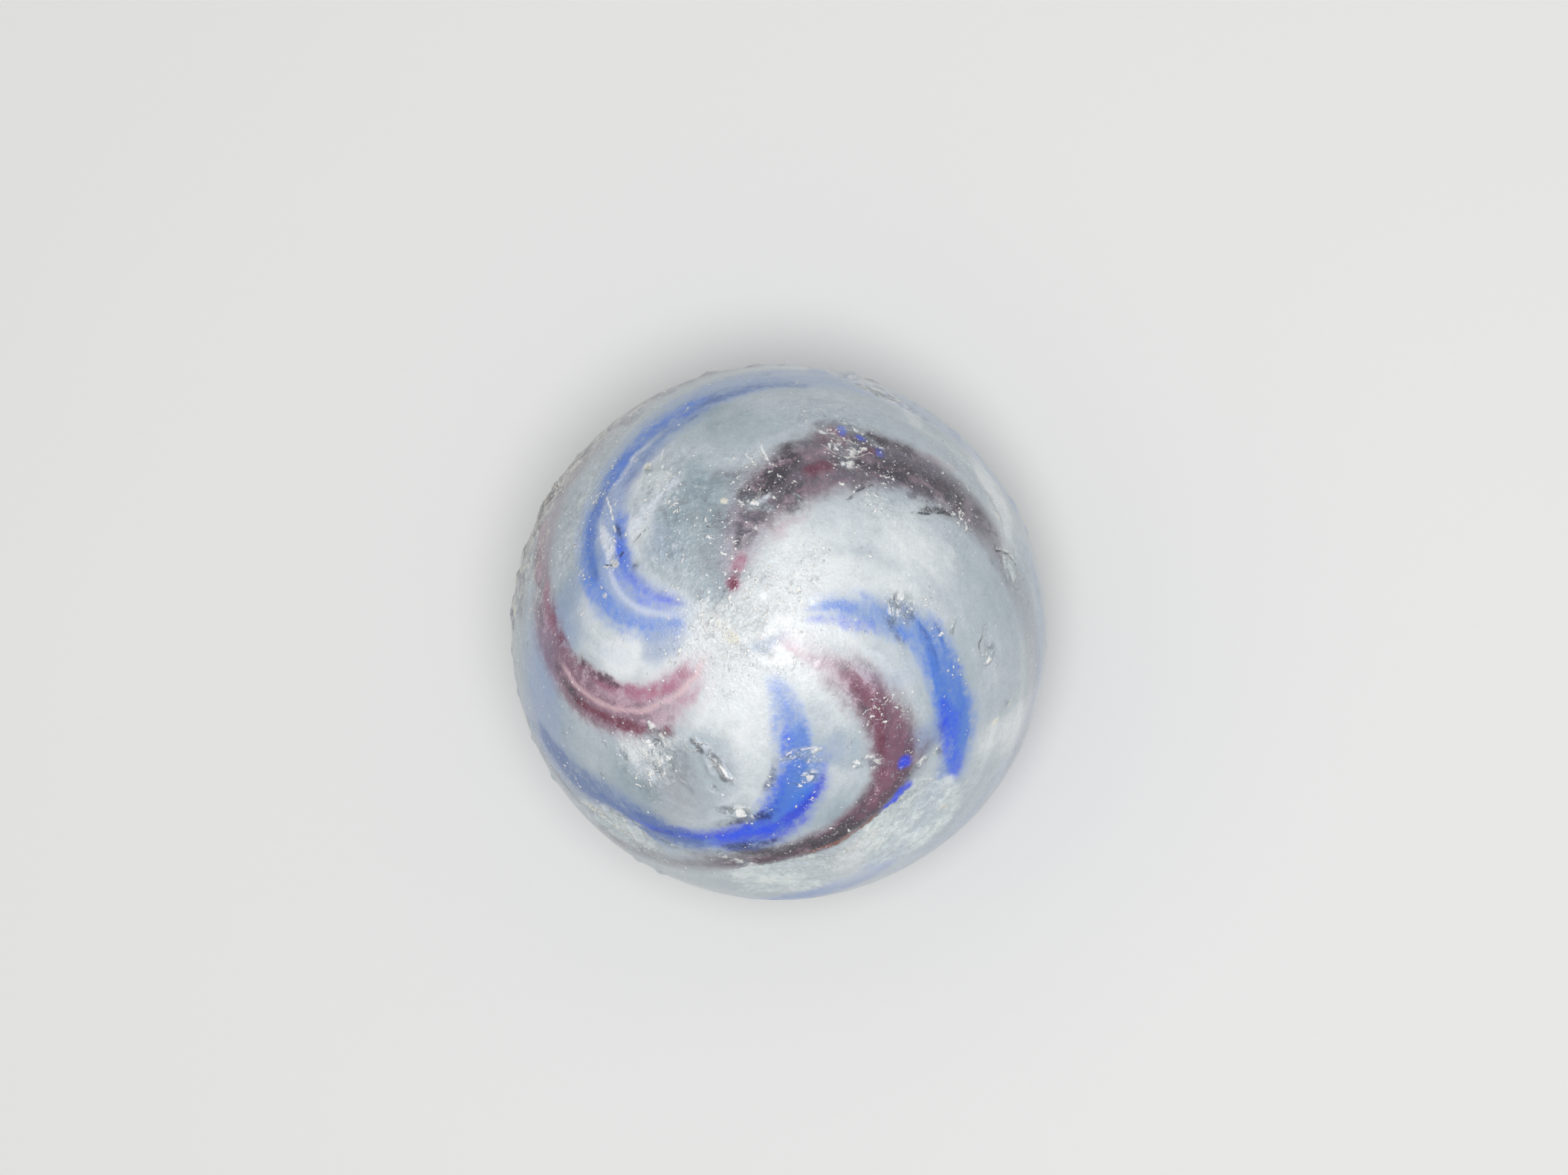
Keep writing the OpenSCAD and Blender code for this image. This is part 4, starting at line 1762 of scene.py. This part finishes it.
@dataclass(frozen=True)
class WornGlass:
    """The finish of the whole skin: three glasses, fused, frosted and pitted."""

    milk: MilkTints = MilkTints()
    blue: BlueTints = BlueTints()
    amethyst: AmethystTints = AmethystTints()

    def lay_milk(self, coat: Coat) -> None:
        """Lays the milk glass with its clouds, its casts, its gritty patches and painted glare near
        the pole.

        Args:
            coat: the finish so far, which is changed.
        """
        white = coat.field("white") + coat.broad * 0.6 + coat.ragged * 0.5 + coat.fine * 0.14
        white = white + coat.grain * 0.08 + coat.streak * 0.45
        coat.lay(white.rise(-0.75, 0.1), self.milk.plain)
        # Near the pole this white is partly painted glare.
        coat.lay(white.rise(0.0, 1.0), self.milk.white)
        cast = coat.field("cast") + coat.ragged * 0.3 + coat.fine * 0.2
        coat.lay(cast.rise(0.0, 1.0) * 0.6, self.milk.cool)
        coat.lay((0 - cast).rise(0.0, 1.0) * 0.6, self.milk.warm)
        dim = (0 - coat.clots - coat.fine * 0.6).rise(0.04, 0.26) * (0.8 - white * 1.2).clamp()
        coat.lay(dim * coat.grit_and_glints, self.milk.dull)
        coat.lay((coat.clots + coat.fine * 0.6).rise(0.05, 0.26) * coat.grit_and_glints, self.milk.white)

    def lay_amethyst(self, coat: Coat) -> tuple[Wire, Wire]:
        """Lays the amethyst bands and the red and dark stains.

        Args:
            coat: the finish so far, which is changed.

        Returns:
            How much amethyst there is, and how deep its tone is.
        """
        edge = coat.field("amethyst_in") + coat.ragged * 0.35 + coat.clots * 0.4 + coat.fine * 0.4
        edge = edge + coat.grain * 0.35 + coat.streak * 0.4
        share = edge.rise(-0.32, 0.4) * coat.field("amethyst_hold")
        tone = coat.field("amethyst_tone") + coat.ragged * 0.5 + coat.clots * 0.9 + coat.fine * 0.8
        tone = tone + coat.grain * 1.0 + coat.streak * 0.9
        plum = coat.tones(tone, self.amethyst.pale, self.amethyst.plain, self.amethyst.deep)
        coat.lay(share, plum)
        reds = (Stain.SMOKE, Stain.ROSE, Stain.CRIMSON, Stain.CHARCOAL, Stain.RUST, Stain.BLUSH)
        coat.stain(coat.edge * 0.8 + coat.clots * 0.5, *reds)
        return share, tone

    def lay_blue(self, coat: Coat) -> None:
        """Lays the blue bands, the blue and pearly stains, and the pale thread in one of the bands.

        Args:
            coat: the finish so far, which is changed.
        """
        edge = coat.field("blue_in") + coat.ragged * 0.3 + coat.fine * 0.4 + coat.grain * 0.2
        edge = edge + coat.streak * 0.4
        tone = coat.field("blue_tone") + coat.ragged * 0.5 + coat.fine * 0.5 + coat.grain * 0.3
        tone = tone + coat.streak * 1.1
        blue = coat.tones(tone, self.blue.pale, self.blue.plain, self.blue.deep)
        lines = (coat.streak * 2.0 + coat.ragged + coat.fine).rise(0.2, 0.8)
        blue = coat.mix(lines * 0.6, blue, self.blue.navy)
        coat.lay(edge.rise(-0.3, 0.36) * coat.field("blue_hold"), blue)
        coat.stain(coat.edge, Stain.STEEL, Stain.AZURE, Stain.BLUE, Stain.NAVY, Stain.PEARL)
        across_vein = (coat.field("vein_at") + coat.fine * 0.9).size()
        coat.lay(across_vein.rise(1.3, 0.1) * coat.field("vein_show") * 0.75, self.milk.vein)

    def lay_broken(self, coat: Coat) -> Wire:
        """Lays the rough ground of the flakes, with painted shade in its low parts and painted
        light on its ridges.

        Args:
            coat: the finish so far, which is changed.

        Returns:
            1 on broken glass, 0 elsewhere.
        """
        fresh = coat.field("fresh")
        crags = coat.noise(1.9, 4, offset=17.0, distortion=1.2)
        # Painted shade and light: the broken ground is darker where it lies low and lighter on its
        # ridges, over random fine tone.
        ground = (coat.field("ridge") - 0.5) * 0.7 + crags + coat.fine * 0.3
        broken = coat.mix(ground.rise(0.25, 0.8), self.milk.low, self.milk.high)
        share = (fresh * 1.2 + coat.ragged * 0.8 + coat.fine * 0.4).rise(0.25, 0.95)
        coat.lay(share * 0.85, broken)
        coat.height = coat.height + fresh * crags * 0.9
        coat.rough = coat.rough + fresh * 0.15
        return fresh

    def lay_crust(self, coat: Coat) -> Wire:
        """Lays the lumpy crust of old dirt and chalky glass, and the chips on top of it.

        Args:
            coat: the finish so far, which is changed.

        Returns:
            1 on the crust, 0 elsewhere.
        """
        lumps = coat.noise(2.6, 4, offset=21.0, distortion=0.6)
        flecks = coat.noise(5.2, 2, offset=23.0, distortion=0.8)
        crusty = (coat.field("crust") + coat.ragged * 0.5).rise(0.1, 0.7)
        coat.lay(crusty * lumps.rise(0.56, 0.38) * 0.5, self.milk.dull)
        coat.lay(crusty * lumps.rise(0.5, 0.66) * 0.7, self.milk.chalk)
        coat.lay(crusty * flecks.rise(0.58, 0.68) * 0.9, self.milk.chalk)
        coat.stain(coat.edge, Stain.COBALT, Stain.CREAM)
        coat.height = coat.height + crusty * lumps * 0.8
        return crusty

    def lay_mottle(self, coat: Coat, plum_share: Wire, plum_tone: Wire, uneven: Wire) -> None:
        """Lays light and dark grains over the amethyst, and makes rough glass uneven in tone.

        Args:
            coat: the finish so far, which is changed.
            plum_share: how much amethyst there is.
            plum_tone: how deep its tone is.
            uneven: how rough the glass is besides its grit.
        """
        salt = (coat.grain * 1.2 + coat.fine * 0.7 + coat.streak * 0.3).rise(0.1, 0.34) * plum_share
        coat.lay(salt * 0.45, self.amethyst.salt)
        pepper = (0 - coat.grain - coat.fine * 0.9 - coat.clots * 0.5).rise(0.05, 0.28)
        coat.lay(pepper * plum_share * plum_tone.rise(0.3, 0.75) * 0.7, self.amethyst.pepper)
        rough_share = (coat.grit_and_glints * 0.7 + uneven * 0.4 + plum_share * 0.5 + 0.3).clamp()
        mottle = (coat.fine * 0.4 + coat.grain * 0.6) * rough_share + 1.0
        coat.colour = coat.scaled(coat.colour, mottle)

    def lay_seams(self, coat: Coat) -> None:
        """Lays the cracks: a dark line, with a bright one beside it or in its place.

        Args:
            coat: the finish so far, which is changed.
        """
        seam = coat.field("seam_at") + coat.fine * 0.12
        dark, white = coat.field("seam_dark"), coat.field("seam_white")
        gaps = coat.noise(4.5, 2, offset=31.0).rise(0.4, 0.5)
        line = seam.size().rise(0.048, 0.01) * gaps
        beside = (seam - 0.07).size().rise(0.065, 0.015) * gaps
        coat.lay(line * dark, self.milk.shade)
        coat.lay((line * (1 - dark) + beside * dark).clamp() * white, self.milk.grains)
        coat.height = coat.height - line * dark * 0.8

    def lay_crumbs(self, coat: Coat) -> None:
        """Lays the crushed spots: pale grains with dark gaps between them.

        Args:
            coat: the finish so far, which is changed.
        """
        crumbled = (coat.field("crush") + coat.ragged * 0.35 + coat.fine * 0.4).rise(0.15, 0.85)
        facets, lots = coat.grains(4.2)
        shards, _ = coat.grains(11.0)
        coat.lay(crumbled * 0.45, self.milk.plain)
        coat.lay(crumbled * (lots + shards * 0.3 - 0.1).rise(0.35, 0.15) * 0.35, self.milk.shade)
        coat.lay(crumbled * (facets + shards * 0.45).rise(0.5, 0.8) * 0.95, self.milk.grains)
        coat.height = coat.height + crumbled * (facets * 1.2 + shards * 0.8)
        coat.rough = coat.rough - crumbled * 0.1

    def lay_chips_and_glints(self, coat: Coat) -> None:
        """Lays tiny chips with a painted glint and painted shade on each, painted glints as bright
        specks, and dust.

        Args:
            coat: the finish so far, which is changed.
        """
        level = coat.noise(6.0, 1, distortion=0.6, offset=51.0) - 0.5
        lots = coat.noise(6.5, 1, offset=57.0) + coat.noise(1.3, 1, offset=59.0) * 0.6
        chosen = (lots + coat.grit_and_glints * 0.22).rise(1.04, 1.12)
        # Painted glint: a bright arc on the rim of each chosen chip.
        bright = level.size().rise(0.13, 0.04) * chosen
        # Painted shade: a dark crescent beside each chosen chip.
        dark = (level + 0.2).size().rise(0.12, 0.03) * chosen
        # Painted glints: small and large bright specks, densest where the glass is gritty.
        small = coat.specks(9.0, coat.grit_and_glints * 0.34 + 0.03, 0.36)
        large = coat.specks(4.5, coat.grit_and_glints * 0.12 + 0.01, 0.25)
        # Lays the painted shade, then the painted glints.
        coat.lay(dark * 0.2, self.milk.shade)
        coat.lay(bright.larger(small.larger(large)) * 0.85, self.milk.grains)
        dust = (coat.grain + coat.fine * 0.5).rise(0.12, 0.3) * (coat.grit_and_glints * 0.5 + 0.1)
        coat.lay(dust, self.milk.white)
        coat.height = coat.height + bright * 0.5 - dark * 0.3
        coat.rough = coat.rough - bright * 0.12

    def material(self) -> bpy.types.Material:
        """Lays every layer in order.

        Returns:
            The material of the skin.
        """
        coat = Coat(bpy.data.materials.new("worn_swirl_glass"), self.milk.clear)
        self.lay_milk(coat)
        plum_share, plum_tone = self.lay_amethyst(coat)
        self.lay_blue(coat)
        fresh = self.lay_broken(coat)
        crusty = self.lay_crust(coat)
        self.lay_mottle(coat, plum_share, plum_tone, fresh + crusty)
        self.lay_seams(coat)
        self.lay_crumbs(coat)
        self.lay_chips_and_glints(coat)
        relief = {"Strength": 0.8, "Distance": 0.08 * MM, "Height": coat.height}
        inputs = {
            "Base Color": coat.colour,
            "Roughness": coat.rough.clamp(),
            "IOR": 1.5,
            "Coat Weight": 0.25,
            "Coat Roughness": 0.14,
            "Subsurface Weight": 0.25,
            "Subsurface Radius": (0.6, 0.75, 0.9),
            "Subsurface Scale": MM,
            "Normal": coat.node("ShaderNodeBump", {}, relief, "Normal"),
        }
        glass = coat.node("ShaderNodeBsdfPrincipled", {}, inputs, "BSDF")
        return coat.finish("ShaderNodeOutputMaterial", glass)


# ---------------------------------------------------------------- floor, light and camera


SENSOR_MM = 36.0
CLIP = (0.01, 5.0)  # nearest and farthest that the camera sees, in metres


@dataclass(frozen=True)
class Studio:
    """A plain pale floor with soft light, mostly from beside the camera.

    Attributes:
        view_lean: the angle between the line of sight and the twist axis, in degrees.
        view_roll: how far the camera is rolled about its line of sight, in degrees.
        camera_away: the camera's distance from the ball's centre, in millimetres like all lengths.
        lens: the camera's focal length.
        shift_right: how far the camera is moved to its right.
        shift_up: how far the camera is moved up.
        floor_half: half the length of the floor's side.
        floor_near: the distance at which the floor begins to fade to white.
        floor_far: the distance at which it has faded.
        key_away: the lamp's distance from the ball's centre.
        key_up: how far the lamp stands above the line of sight, as a share of its distance.
        key_size: the lamp's diameter.
        key_power: the lamp's power in watts.
        floor_tint: the floor's colour.
        room_light: how bright the room is, where the sky that the camera sees is 1.
    """

    view_lean: float = 9.54
    view_roll: float = 72.0
    camera_away: float = 128.0
    lens: float = 98.4
    shift_right: float = 0.144
    shift_up: float = 1.34
    floor_half: float = 600.0
    floor_near: float = 32.0
    floor_far: float = 110.0
    key_away: float = 150.0
    key_up: float = -0.05
    key_size: float = 54.0
    key_power: float = 0.12
    floor_tint: Colour = (0.83, 0.83, 0.82)
    room_light: float = 0.5

    def axes(self) -> tuple[Vector, Vector, Vector]:
        """Works out how the camera stands.

        Returns:
            Its right, up and backward directions.
        """
        lean = self.view_lean * DEGREE
        back = Vector((0, -math.sin(lean), math.cos(lean)))
        level_up = Vector((0, math.cos(lean), math.sin(lean)))
        level_right = level_up.cross(back)
        roll = self.view_roll * DEGREE
        right = level_right * math.cos(roll) - level_up * math.sin(roll)
        up = level_right * math.sin(roll) + level_up * math.cos(roll)
        return right, up, back

    def camera(self) -> bpy.types.Object:
        """Places the camera above the near pole, a little to one side.

        Returns:
            The camera.
        """
        right, up, back = self.axes()
        data = bpy.data.cameras.new("camera")
        data.lens = self.lens
        data.sensor_width = SENSOR_MM
        data.clip_start, data.clip_end = CLIP
        camera = bpy.data.objects.new("camera", data)
        place = (back * self.camera_away + right * self.shift_right + up * self.shift_up) * MM
        turn = Matrix((right, up, back)).transposed().to_4x4()
        camera.matrix_world = Matrix.Translation(place) @ turn
        bpy.context.scene.collection.objects.link(camera)
        bpy.context.scene.camera = camera
        return camera

    def key(self) -> bpy.types.Object:
        """Hangs the soft lamp beside the camera.

        Returns:
            The lamp.
        """
        _, up, back = self.axes()
        aim = (back + up * self.key_up).normalized()
        data = bpy.data.lights.new("key", "AREA")
        data.shape = "DISK"
        data.size = self.key_size * MM
        data.energy = self.key_power
        lamp = bpy.data.objects.new("key", data)
        lamp.location = aim * self.key_away * MM
        lamp.rotation_euler = aim.to_track_quat("Z", "Y").to_euler()
        bpy.context.scene.collection.objects.link(lamp)
        return lamp

    def floor(self) -> bpy.types.Object:
        """Lays the floor under the ball, and fades it to white farther off.

        Returns:
            The floor.
        """
        half, low = self.floor_half * MM, CAD_BOX[0][2]
        mesh = bpy.data.meshes.new("floor")
        corners = [(x * half, y * half, low) for x, y in ((-1, -1), (1, -1), (1, 1), (-1, 1))]
        mesh.from_pydata(corners, [], [(0, 1, 2, 3)])
        floor = bpy.data.objects.new("floor", mesh)
        bpy.context.scene.collection.objects.link(floor)
        bench = Bench(bpy.data.materials.new("floor"))
        grain = bench.noise(0.05, 3) - 0.5
        shade = tuple(c * 0.985 for c in self.floor_tint)
        paper = bench.mix((grain + 0.5).clamp(), self.floor_tint, shade)
        inputs = {"Base Color": paper, "Roughness": 0.9}
        matt = bench.node("ShaderNodeBsdfPrincipled", {}, inputs, "BSDF")
        glow = bench.node("ShaderNodeEmission", {}, {"Color": (1.0, 1.0, 1.0), "Strength": 1.0})
        length = {"operation": "LENGTH"}
        away = bench.node("ShaderNodeVectorMath", length, {"Vector": bench.place}, "Value")
        seen = bench.node("ShaderNodeLightPath", {}, {}, "Is Camera Ray")
        far = away.rise(self.floor_near, self.floor_far) * seen
        faded = bench.node("ShaderNodeMixShader", {}, {0: far, 1: matt, 2: glow})
        mesh.materials.append(bench.finish("ShaderNodeOutputMaterial", faded))
        return floor

    def world(self) -> None:
        """Lights the room evenly, and shows white where the camera looks past the floor."""
        bench = Bench(bpy.data.worlds.new("room"))
        camera_ray = bench.node("ShaderNodeLightPath", {}, {}, "Is Camera Ray")
        seen = camera_ray.larger(bench.node("ShaderNodeLightPath", {}, {}, "Is Transmission Ray"))
        levels = {"Value": seen, "To Min": self.room_light, "To Max": 1.0}
        level = bench.node("ShaderNodeMapRange", {}, levels)
        glow = bench.node("ShaderNodeBackground", {}, {"Color": (1.0, 1.0, 1.0), "Strength": level})
        bpy.context.scene.world = bench.finish("ShaderNodeOutputWorld", glow)


def main() -> None:
    """Builds the marble and the studio, and ties the piece to the frame."""
    logging.basicConfig(level=logging.INFO, format="%(name)s: %(message)s")
    studio = Studio()
    studio.camera()
    studio.key()
    studio.floor()
    studio.world()
    piece = MarbleSkin().build()
    piece.data.materials.append(WornGlass().material())
    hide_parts("milk_glass_ball", "blue_bands", "amethyst_bands")
    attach(piece, "root")
    mesh = piece.data
    log.info("%s: %d vertices, %d faces", piece.name, len(mesh.vertices), len(mesh.polygons))
    view = bpy.context.scene.view_settings
    view.view_transform = "Standard"


if __name__ == "__main__":
    main()
